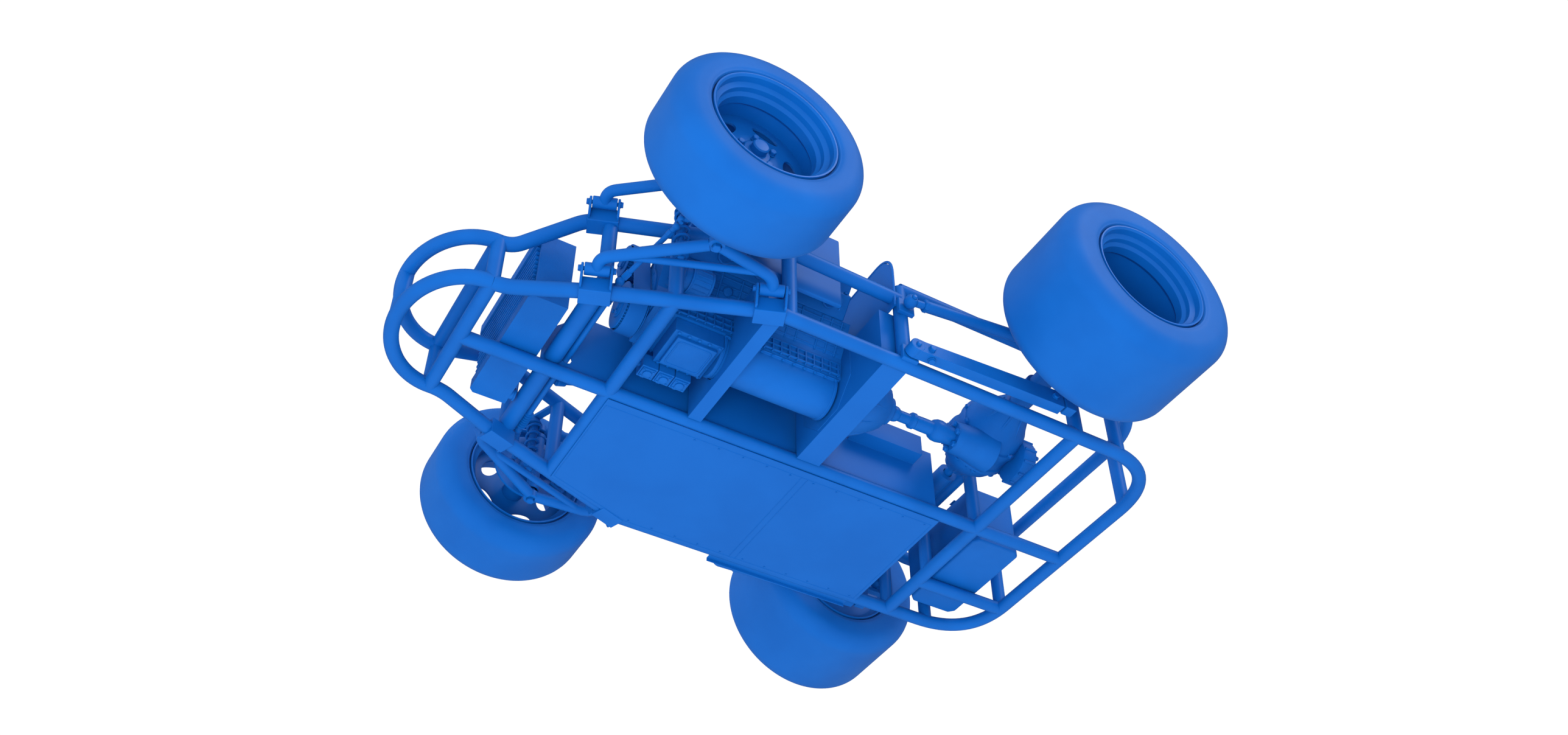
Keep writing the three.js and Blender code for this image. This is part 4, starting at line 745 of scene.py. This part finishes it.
# Steering wheel and rack.
def build_controls():
    foot, hub = V((693, -150, 197)), V((140, -289, 520))
    way = (hub - foot).normalized()
    wheel = Stock()
    rim = [(140 + 13 * math.cos(a), 13 * math.sin(a)) for a in angles(20)]
    wheel.turn(rim, hub, way, 72, closed=True)
    wheel.turn([(30, -6), (34, -2), (34, 6), (26, 10)], hub, way, 40)
    across = V((0, 0, 1)).cross(way).normalized()
    down = way.cross(across).normalized()
    for arm in (across, -across, down if down.z < 0 else -down):
        wheel.sweep([hub + arm * 24, hub + arm * 136], 8, 16, 6)
    wheel.rod(foot, hub, 9.6, ease=1)
    wheel.rod(foot + way * 8, foot + way * 46, 15, ease=2)
    wheel.rod(hub - way * 60, hub - way * 20, 15, ease=2)
    piece("steering_wheel_and_column", wheel, MACHINED, "steering_wheel", ["steering_wheel"])
    bolts("wheel_hub_bolts", circle_of(hub + way * 9, way, 18, 5), 0.5, "steering_wheel")
    rack = Stock().rod((RACK_X, -RACK_END_Y, RACK_Z), (RACK_X, RACK_END_Y, RACK_Z), 10.8)
    for side, _ in SIDES:
        near, far = V((RACK_X, side * RACK_END_Y, RACK_Z)), V((STEER_ARM[0], side * 617, STEER_ARM[2]))
        rack.ball(near, 15).ball(far, 12)
        run = far - near
        rack.rod(near, far, 8.6).rod(near + run * 0.06, near + run * 0.18, 12, ease=2, sides=6)
        rack.rod(near + run * 0.84, near + run * 0.92, 11.5, ease=2, sides=6)
        for i in range(7):
            fold = (RACK_X, side * (300 + i * 11), RACK_Z)
            rack.turn([(14, -2.4), (18, 0), (14, 2.4)], fold, (0, 1, 0), 28)
    piece("rack_and_tie_rods", rack, MACHINED, "steering_rack", ["steering_rack"])


# Front corners.
REACH = (KINGPIN_Y - rail_y(FRONT_AXLE_X)) * OUT[1] - PIVOT_OUT
BRACE_AT, ELBOW_AT = 62, 45


def arm_point(side, s, d, z):
    """Point s forward of the ball joint along the pivot line and d outward from that line."""
    y = KINGPIN_Y - (REACH - d) * OUT[1] + s * ALONG[1]
    return V((FRONT_AXLE_X - (REACH - d) * OUT[0] + s * ALONG[0], side * y, z))


def pivot_s(x):
    return (x - FRONT_AXLE_X) * ALONG[0] + (rail_y(x) - KINGPIN_Y) * ALONG[1]


def build_wishbone(side, name, level, pivot_z, ball_z):
    def rise(d):
        return pivot_z + (ball_z - pivot_z) * d / REACH

    body = f"{level}_wishbone_{name}"
    legs = []
    for x in BRACKETS:
        s = pivot_s(x)
        elbow = arm_point(side, s, ELBOW_AT, rise(ELBOW_AT))
        ball_end = arm_point(side, s * 0.06, REACH - 9, ball_z)
        legs.append(rounded([arm_point(side, s, 8, pivot_z), elbow, ball_end], 34, 12))
    tubes(f"{level}_arm_{name}", legs, 19, FRAME_PAINT, body, [f"wishbone_{level}_{name}"])
    ends, centre = Stock(), V((FRONT_AXLE_X, side * KINGPIN_Y, ball_z))
    for x in BRACKETS:
        s = pivot_s(x)
        a, b = arm_point(side, s - 39, 0, pivot_z), arm_point(side, s + 39, 0, pivot_z)
        ends.turn([(8, 0), (18, 0), (20, 2), (20, 76), (18, 78), (8, 78)], a, b - a, 40, closed=True)
    eye = [(15, -14), (24, -14), (26, -12), (26, 12), (24, 14), (15, 14)]
    ends.turn(eye, centre, (0, 0, 1), 48, closed=True)
    if level == "lower":
        inward = (REACH - BRACE_AT) / (REACH - ELBOW_AT)
        brace = [arm_point(side, pivot_s(x) * inward, BRACE_AT, rise(BRACE_AT)) for x in BRACKETS]
        ends.rod(*brace, 12)
    piece(f"{level}_arm_ends_{name}", ends, FRAME_PAINT, body, ())


def build_calliper(side, name):
    arc = [math.radians(150 + k * 6) for k in range(11)]

    def spot(r, a):
        return FRONT_AXLE_X + r * math.cos(a), FRONT_TYRE_R + r * math.sin(a)

    calliper = Stock()
    for outer, inner, low, high in ((150, 92, 40, 52), (150, 92, 67, 80), (152, 139, 42, 78)):
        outline = [spot(outer, a) for a in arc] + [spot(inner, a) for a in reversed(arc)]
        calliper.prism(outline, "y", *sorted((side * (KINGPIN_Y + low), side * (KINGPIN_Y + high))))
    for k in (2, 8):
        x, z = spot(118, arc[k])
        calliper.turn([(20, 0), (20, 5), (16, 8)], (x, side * (KINGPIN_Y + 41), z), (0, -side, 0), 28)
    wide = sorted((side * (KINGPIN_Y + 30), side * (KINGPIN_Y + 41)))
    calliper.block(FRONT_AXLE_X - 116, FRONT_AXLE_X - 20, *wide, FRONT_TYRE_R - 14, FRONT_TYRE_R + 14)
    piece("brake_calliper_" + name, calliper, CASTING, "knuckle_" + name, (), 2.5)


def build_corner(side, name):
    build_brackets(side, name)
    low_ball, high_ball = LOWER_PIVOT_Z + BALL_UP, UPPER_PIVOT_Z + BALL_UP
    build_wishbone(side, name, "lower", LOWER_PIVOT_Z, low_ball)
    build_wishbone(side, name, "upper", UPPER_PIVOT_Z, high_ball)

    def at(offset, z):
        return V((FRONT_AXLE_X, side * (KINGPIN_Y + offset), z))

    pin = Stock().rod(at(0, low_ball - 20), at(0, high_ball + 20), 7.6, ease=1.5)
    pin.rod(at(0, low_ball + 20), at(0, high_ball - 20), 12.6, ease=1)
    for z, way in ((low_ball, -1), (high_ball, 1)):
        pin.turn([(13.4, -13), (14.4, -8), (13.2, 8), (9, 14)], at(0, z), (0, 0, -way), 32)
        pin.turn([(14, 0), (14, 9), (12, 11)], at(0, z + way * 15), (0, 0, way), 6)
    piece("kingpin_and_joints_" + name, pin, MACHINED, "kingpin_" + name, ["kingpin_" + name])

    tip = V((STEER_ARM[0], side * STEER_ARM[1], STEER_ARM[2]))
    upright = Stock()
    for z0, z1, r in ((178, 430, 22), (178, 196, 25), (412, 430, 25), (282, 362, 27)):
        high = z1 - z0
        collar = [(14.4, 0), (r - 2, 0), (r, 2), (r, high - 2), (r - 2, high), (14.4, high)]
        upright.turn(collar, at(0, z0), (0, 0, 1), 40, closed=True)
    upright.turn([(30, 14), (38, 18), (38, 34), (34, 37)], at(0, FRONT_TYRE_R), (0, side, 0), 48)
    upright.rod(at(20, FRONT_TYRE_R), at(200, FRONT_TYRE_R), 13.6, ease=1)
    upright.sweep([at(0, STEER_ARM[2]) + V((22, 0, 0)), tip], 11, 20, 8).ball(tip, 12.6)
    upright.rod(tip - V((0, 0, 17)), tip + V((0, 0, 17)), 6)
    piece("upright_" + name, upright, CASTING, "knuckle_" + name, ["knuckle_" + name])
    build_calliper(side, name)
    build_front_damper(side, name)


def coil(x, y, z0, z1, turns=6, r=22, wire=4.6):
    steps = turns * 24
    path = []
    for i in range(steps + 1):
        a, t = i / 24 * math.tau, i / steps
        rise = min(max((t * turns - 0.6) / (turns - 1.2), 0), 1)
        path.append(V((x + r * math.cos(a), y + r * math.sin(a), z0 + wire + rise * (z1 - z0 - 2 * wire))))
    return path


def build_coil_over(prefix, name, x, y, z0, z1, foot, body_top):
    """Damper body with its collars, its rod with the lower seat, and the coil between the two seats."""
    rod_body = f"{prefix}_damper_rod_{name}"
    spring = tubes(f"{prefix}_spring_coil_{name}", [coil(x, y, z0, z1)], 4.6, SPRING_PAINT, None,
                   [f"spring_{prefix}_{name}"], 14)
    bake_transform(spring)
    rod = Stock().rod((x, y, foot), (x, y, z0 + 74), 6.8)
    seat = z0 - foot
    rod.turn([(14, 0), (14, 8), (26, seat - 7), (27, seat - 5), (27, seat - 0.8), (15, seat - 0.6)],
             (x, y, foot), (0, 0, 1), 40)
    rod.turn([(10, -11), (14, -6), (14, 6), (10, 11)], (x, y, foot + 4), (1, 0, 0), 28)
    piece(f"{prefix}_damper_shaft_{name}", rod, MACHINED, rod_body, [f"damper_rod_{prefix}_{name}"])
    case = Stock()
    low = z0 + (z1 - z0) * 0.28 + 16
    high = body_top - low
    sleeve = [(7.4, 0), (12, 0), (13.8, 2), (13.8, high), (7.4, high)]
    case.turn(sleeve, (x, y, low), (0, 0, 1), 40, closed=True)
    case.turn([(14, 0.6), (27, 0.6), (27, 5), (24, 8), (14, 8)], (x, y, z1), (0, 0, 1), 24, closed=True)
    case.turn([(14, 10), (22, 10), (22, 15), (14, 15)], (x, y, z1), (0, 0, 1), 16, closed=True)
    for i in range(int((z1 - low) / 5)):
        case.turn([(13.6, -1.4), (14.6, 0), (13.6, 1.4)], (x, y, low + 6 + i * 5), (0, 0, 1), 28)
    return case


def build_front_damper(side, name):
    mount = arm_point(side, 100, BRACE_AT, 0)
    brace_z = LOWER_PIVOT_Z + BALL_UP * BRACE_AT / REACH
    case = build_coil_over("front", name, mount.x, mount.y, 186, 368, brace_z + 17, 397)
    inner = arm_point(side, 100, -PIVOT_OUT + 26, 0)
    run = V((mount.x - inner.x, mount.y - inner.y, 0)).normalized()
    wide = V((run.y, -run.x, 0)) * 13
    outer = mount + run * 14
    strap = (inner - wide, outer - wide, outer + wide, inner + wide)
    case.loft([[p + V((0, 0, z)) for p in strap] for z in (397, 409)])
    piece("front_damper_body_" + name, case, CASTING, "chassis", ["damper_front_" + name], 1)


# Wheels.
def build_tyre(side, x, y, radius, width, node, body):
    half, shoulder, bead = width / 2, 64, 208

    def flank(sign):
        arc = [i / 12 * math.pi / 2 for i in range(13)]
        edge = [(radius - shoulder * (1 - math.sin(a)), half - shoulder * (1 - math.cos(a))) for a in arc]
        lip = [(bead + up, half - back)
               for up, back in ((0, 26), (3, 12), (9, 5), (13, 4.4), (16, 2.2), (22, 0.6), (30, 0))]
        return [(r, sign * h) for r, h in lip + edge]

    outer = flank(1) + flank(-1)[::-1]
    inner = [(bead, -half + 40), (radius - 16, -half + 42), (radius - 16, half - 42), (bead, half - 40)]
    profile = outer + inner
    stock = Stock().turn(profile, (x, side * y, radius), (0, side, 0), 128, closed=True)
    piece("slick_tyre_" + node.replace("tyre_", ""), stock, TYRE_RUBBER, body, [node])


def barrel_profile(half):
    """Section of the rim: lips, stepped bead seats and the drop well, out and back."""
    outside = [(207.8, half), (207.8, half - 24), (186, half - 32), (185, half - 52), (176, half - 62),
               (176, half - 84), (185, half - 96), (185, -half + 32), (207.8, -half + 24), (207.8, -half)]
    inside = [(203, -half), (198, -half + 6), (196, -half + 24), (179, -half + 36), (179, half - 100),
              (169, half - 88), (169, half - 60), (179, half - 50), (180, half - 34), (195, half - 26),
              (197, half - 6), (203, half)]
    return outside + inside


def build_rim(side, x, y, radius, width, node, body, dish):
    half = width / 2 - 5
    centre, way = (x, side * y, radius), (0, side, 0)
    barrel = Stock().turn(barrel_profile(half), centre, way, 96, closed=True)
    piece(node + "_barrel", barrel, RIM_PAINT, body, [node])
    face = [(30, dish + 3), (66, dish + 6), (82, dish + 2), (130, dish - 8), (162, dish - 17), (180, dish - 19),
            (180, dish - 25), (160, dish - 24), (128, dish - 15), (82, dish - 6), (66, dish - 6),
            (30, dish - 6)]
    disc = Stock().turn(face, centre, way, 96, closed=True).built(node + "_face")
    if node.startswith("rim_front"):
        cutters = Stock()
        for a in angles(5, math.pi / 5):
            out, cross = V((math.cos(a), 0, math.sin(a))), V((-math.sin(a), 0, math.cos(a)))
            hub = V((x, 0, radius)) + out * 122
            oval = [hub + out * (27 * math.cos(t)) + cross * (46 * math.sin(t)) for t in angles(40)]
            cutters.loft([[p + V((0, side * y + h, 0)) for p in oval] for h in (-60, 60)])
        tool = cutters.built("window_cutters")
        bite = disc.modifiers.new("windows", "BOOLEAN")
        bite.operation = "DIFFERENCE"
        bite.solver = "EXACT"
        bite.object = tool
        disc = baked(disc)
        bpy.data.objects.remove(tool)
    disc.name = node + "_face"
    settle(disc, RIM_PAINT, body, (), 1.6)
    hub = Stock()
    hub.turn([(46, 0), (46, 7), (42, 10), (30, 11), (27, 14), (27, 34), (23, 38), (10, 39)],
             (x, side * (y + dish + 3), radius), way, 56)
    piece(node + "_hub", hub, MACHINED, body, ())
    nuts = circle_of((x, side * (y + dish + 7), radius), way, 57, 5, 0.6)
    bolts(node + "_nuts", nuts, 1.25, body, STUD_NUT)


def build_wheels():
    for side, name in SIDES:
        body = "front_wheel_" + name
        front = (side, FRONT_AXLE_X, FRONT_WHEEL_Y, FRONT_TYRE_R, FRONT_TYRE_W)
        build_tyre(*front, "tyre_front_" + name, body)
        build_rim(*front, "rim_front_" + name, body, 0)
        brake = Stock()
        centre, way = (FRONT_AXLE_X, side * KINGPIN_Y, FRONT_TYRE_R), (0, side, 0)
        brake.turn([(16, 46), (38, 46), (40, 48), (40, 220), (16, 220)], centre, way, 48, closed=True)
        disc = [(70, 54), (134, 54), (135, 55), (135, 63), (134, 64), (70, 64)]
        brake.turn(disc, centre, way, 96, closed=True)
        brake.turn([(38, 56), (74, 56), (74, 62), (38, 62)], centre, way, 48, closed=True)
        piece("brake_disc_" + name, brake, MACHINED, body, ())
        ring = circle_of((FRONT_AXLE_X, side * (KINGPIN_Y + 54), FRONT_TYRE_R), (0, -side, 0), 58, 8)
        bolts("disc_bolts_" + name, ring, 0.6, body)
        rear = (side, REAR_AXLE_X, REAR_WHEEL_Y, REAR_TYRE_R, REAR_TYRE_W)
        build_tyre(*rear, "tyre_rear_" + name, "rear_wheels")
        build_rim(*rear, "rim_rear_" + name, "rear_wheels", REAR_DISH)
    shaft = Stock()
    end = REAR_WHEEL_Y + REAR_DISH - 6.4
    shaft.rod((REAR_AXLE_X, -end, REAR_TYRE_R), (REAR_AXLE_X, end, REAR_TYRE_R), 15.8, ease=1)
    for side, _ in SIDES:
        for profile, steps in (([(62, end - 12), (62, end - 1.4), (60, end)], 48),
                               ([(40, 722), (42, 726), (42, end - 12), (44, end - 8)], 40)):
            shaft.turn(profile, (REAR_AXLE_X, 0, REAR_TYRE_R), (0, side, 0), steps)
    piece("solid_axle_shaft", shaft, MACHINED, "rear_wheels", ["axle_shaft"])


# Live rear axle.
def build_axle():
    centre, way = V((REAR_AXLE_X, 0, REAR_TYRE_R)), V((0, 1, 0))
    housing = Stock()
    housing.turn([(20, 22), (46, 24), (50, 34), (74, 66), (104, 100), (118, 134), (120, 146), (128, 148),
                  (128, 168), (122, 172), (122, 232), (128, 236), (128, 258), (120, 260), (118, 274),
                  (104, 306), (76, 350), (54, 388), (48, 404), (20, 406)], centre, way, 96)
    for side, _ in SIDES:
        start = 400 if side > 0 else 26
        tube = [(18.6, start), (37, start), (37, 700), (44, 704), (44, 714), (38, 716), (18.6, 716)]
        housing.turn(tube, centre, V((0, side, 0)), 56, closed=True)
        collar = centre + V((0, side * 500, 0))
        housing.turn([(40, 0), (47, 3), (47, 18), (40, 21)], collar, V((0, side, 0)), 48)
    nose = V((0, ENGINE_Y, CRANK_Z))
    housing.turn([(34, 0), (52, 2), (56, 8), (58, 30), (60, 60), (70, 110), (78, 160)],
                 nose + V((-640, 0, 0)), (-1, 0, 0), 64)
    housing.turn([(60, 0), (76, 6), (80, 14), (80, 52), (76, 58), (60, 62)],
                 nose + V((-896, 0, 0)), (-1, 0, 0), 64)
    piece("differential_case", housing, CASTING, "axle_housing", ["axle_housing"])
    ribs = Stock()
    for a in angles(8, math.pi / 8):
        out = V((math.cos(a), 0, math.sin(a)))
        for near, far in ((264, 394), (142, 36)):
            ribs.sweep([centre + out * 116 + V((0, near, 0)), centre + out * 52 + V((0, far, 0))], 6.5, 12, 4)
    for a in angles(10):
        ribs.sweep([nose + V((x, 0, 0)) + spoke(a) * 80 for x in (-904, -952)], 5, 12)
    piece("case_ribs", ribs, CASTING, "axle_housing", ())
    spots = circle_of(centre + V((0, 258, 0)), (0, 1, 0), 119, 10, 0.3)
    spots += circle_of(centre + V((0, 148, 0)), (0, -1, 0), 119, 10, 0.3)
    spots += circle_of(nose + V((-640, 0, 0)), (1, 0, 0), 46, 6)
    bolts("case_bolts", spots, 1.15, "axle_housing")
    studs = circle_of(nose + V((-958, 0, 0)), (-1, 0, 0), 64, 8, 0.2)
    bolts("cover_nuts", studs, 0.9, "axle_housing", STUD_NUT)
    torque = Stock()
    torque.ball((-400, ENGINE_Y, CRANK_Z), 28)
    torque.turn([(18, 0), (20, 8), (20, 60), (26, 66), (29, 70), (29, 82), (25, 86), (26, 112), (26, 152),
                 (34, 158), (39, 170), (40, 186), (37, 204), (34, 214), (34, 240)],
                (-400, ENGINE_Y, CRANK_Z), (-1, 0, 0), 48)
    piece("torque_tube", torque, MACHINED, "axle_housing", ())
    lugs = Stock()
    for side, _ in SIDES:
        y = side * TRAIL_Y
        outline = [(-832, 118), (-792, 118), (-788, 150), (-784, 300), (-784, 378), (-792, 438),
                   (-832, 438), (-840, 378), (-840, 300), (-836, 150)]
        lugs.prism(outline, "y", y - 19, y + 19)
        lugs.block(-912, -820, y - 13, y + 13, 197, 213)
    piece("axle_lugs", lugs, CASTING, "axle_housing", (), 3)


def build_rear_links(side, name):
    y, z0, z1 = side * TRAIL_Y, TRAIL_PIVOT_Z, 145
    end = -780
    arm, spots = Stock(), []
    half = [(PLATE_X - 30, 24), (PLATE_X - 8, 25), (PLATE_X + 12, 18), (PLATE_X + 24, 0)]
    outline = [(end, z1 - 33)] + [(x, z0 - h) for x, h in half]
    outline += [(x, z0 + h) for x, h in half[-2::-1]] + [(end, z1 + 33)]
    arm.prism(outline, "y", y - 20.5, y + 20.5)
    arm.turn([(9.6, -21), (24, -21), (26, -19), (26, 19), (24, 21), (9.6, 21)],
             (PLATE_X, y, z0), (0, 1, 0), 40, closed=True)
    for x, z in ((-252, z0 + 2), (-744, z1 - 2)):
        spots.append(((x, y + side * 20.5, z), (0, side, 0)))
    spots.append(((-262, y, z0 - 25), (0, 0, -1)))
    body = "trailing_arm_" + name
    piece("trailing_box_" + name, arm, FRAME_PAINT, body, [body], 2.5)
    bolts("trailing_box_bolts_" + name, spots, 1.2, body)
    link = Stock()
    a, b = V((PLATE_X, y, LINK_PIVOT_Z)), V((end, y, 405))
    run = b - a
    link.turn([(9.7, -21), (14, -20), (21, -12), (23.6, 0), (21, 12), (14, 20), (9.7, 21)],
              a, (0, 1, 0), 48, closed=True)
    link.rod(a + run.normalized() * 20, a + run * 0.09, 13)
    link.turn([(19, 0), (22, 2), (22, 14), (19, 16)], a + run * 0.085, run, 6)
    link.rod(a + run * 0.1, b, 20, ease=2)
    body = "upper_link_" + name
    piece("upper_link_tube_" + name, link, FRAME_PAINT, body, [body])
    case = build_coil_over("rear", name, -898, y, 246, 392, 219, 429)
    case.block(-911, -885, *sorted((side * 602, side * 656)), 414.4, 429.6)
    piece("rear_damper_body_" + name, case, CASTING, "chassis", ["damper_rear_" + name], 1)


build_frame()
build_panels()
build_radiator()
build_engine()
build_controls()
for side, name in SIDES:
    build_corner(side, name)
    build_rear_links(side, name)
build_wheels()
build_axle()
for pattern in (HEX_HEAD, STUD_NUT):
    bpy.data.objects.remove(pattern)


# Floor, light and camera.
def pale_floor():
    """Pale floor that is seen only from above, so that the chassis also shows from below."""
    material = bpy.data.materials.new("pale_floor")
    material.use_nodes = True
    nodes = material.node_tree.nodes
    nodes.clear()
    out = nodes.new("ShaderNodeOutputMaterial")
    matt = filled(nodes.new("ShaderNodeBsdfDiffuse"), {"Color": (0.86, 0.87, 0.89, 1)})
    clear = nodes.new("ShaderNodeBsdfTransparent")
    face, path = nodes.new("ShaderNodeNewGeometry"), nodes.new("ShaderNodeLightPath")
    seen = nodes.new("ShaderNodeMath")
    seen.operation = "SUBTRACT"
    seen.use_clamp = True
    mix = nodes.new("ShaderNodeMixShader")
    wired(material.node_tree,
          (path, "Is Camera Ray", seen, 0), (face, "Backfacing", seen, 1), (seen, "Value", mix, "Fac"),
          (clear, "BSDF", mix, 1), (matt, "BSDF", mix, 2), (mix, "Shader", out, "Surface"))
    return material


floor_data = bpy.data.meshes.new("studio_floor")
corners = [(x * 14, y * 14, -0.001) for x, y in ((-1, -1), (1, -1), (1, 1), (-1, 1))]
floor_data.from_pydata(corners, [], [(0, 1, 2, 3)])
floor_data.materials.append(pale_floor())
studio_floor = bpy.data.objects.new("studio_floor", floor_data)
bpy.context.collection.objects.link(studio_floor)

world = bpy.data.worlds.new("studio")
world.use_nodes = True
studio = world.node_tree.nodes
sky = filled(studio["Background"], {"Color": (0.96, 0.98, 1.0, 1)})
mirrored = filled(studio.new("ShaderNodeMapRange"), {"To Min": 1.5, "To Max": 0.12})
backdrop = filled(studio.new("ShaderNodeBackground"), {"Color": (1, 1, 1, 1), "Strength": 1.05})
ray, either = studio.new("ShaderNodeLightPath"), studio.new("ShaderNodeMixShader")
wired(world.node_tree,
      (ray, "Is Glossy Ray", mirrored, "Value"), (mirrored, "Result", sky, "Strength"),
      (ray, "Is Camera Ray", either, "Fac"), (sky, "Background", either, 1),
      (backdrop, "Background", either, 2), (either, "Shader", studio["World Output"], "Surface"))
bpy.context.scene.world = world


def softbox(name, place, target, size, power, mirrored_too=True):
    data = bpy.data.lights.new(name, "AREA")
    data.shape = "DISK"
    data.size = size
    data.energy = power
    lamp = bpy.data.objects.new(name, data)
    lamp.location = place
    lamp.rotation_euler = (V(target) - V(place)).to_track_quat("-Z", "Y").to_euler()
    lamp.visible_camera = False
    lamp.visible_glossy = mirrored_too
    bpy.context.collection.objects.link(lamp)


softbox("key_softbox", (2.6, 3.6, -4.4), (0, 0, 0.2), 3.2, 260, mirrored_too=False)
softbox("high_softbox", (3.0, -2.5, 5.5), (0, 0, 0.3), 4.0, 230, mirrored_too=False)
softbox("rear_softbox", (-3.2, 5.6, 6.0), (0, 0.4, 0.3), 3.4, 230)

view = bpy.data.cameras.new("view")
view.lens = 34.39
view.sensor_width = 36
view.sensor_fit = "HORIZONTAL"
camera = bpy.data.objects.new("view", view)
forward, upward = V((-0.3703, -0.6228, 0.6893)).normalized(), V((0.3441, 0.5972, 0.7245))
right = forward.cross(upward).normalized()
upward = right.cross(forward)
facing = Matrix((right, upward, -forward)).transposed().to_4x4()
camera.matrix_world = Matrix.Translation((1.8848, 3.3371, -3.1800)) @ facing
bpy.context.collection.objects.link(camera)
bpy.context.scene.camera = camera
bpy.context.scene.view_settings.view_transform = "Standard"
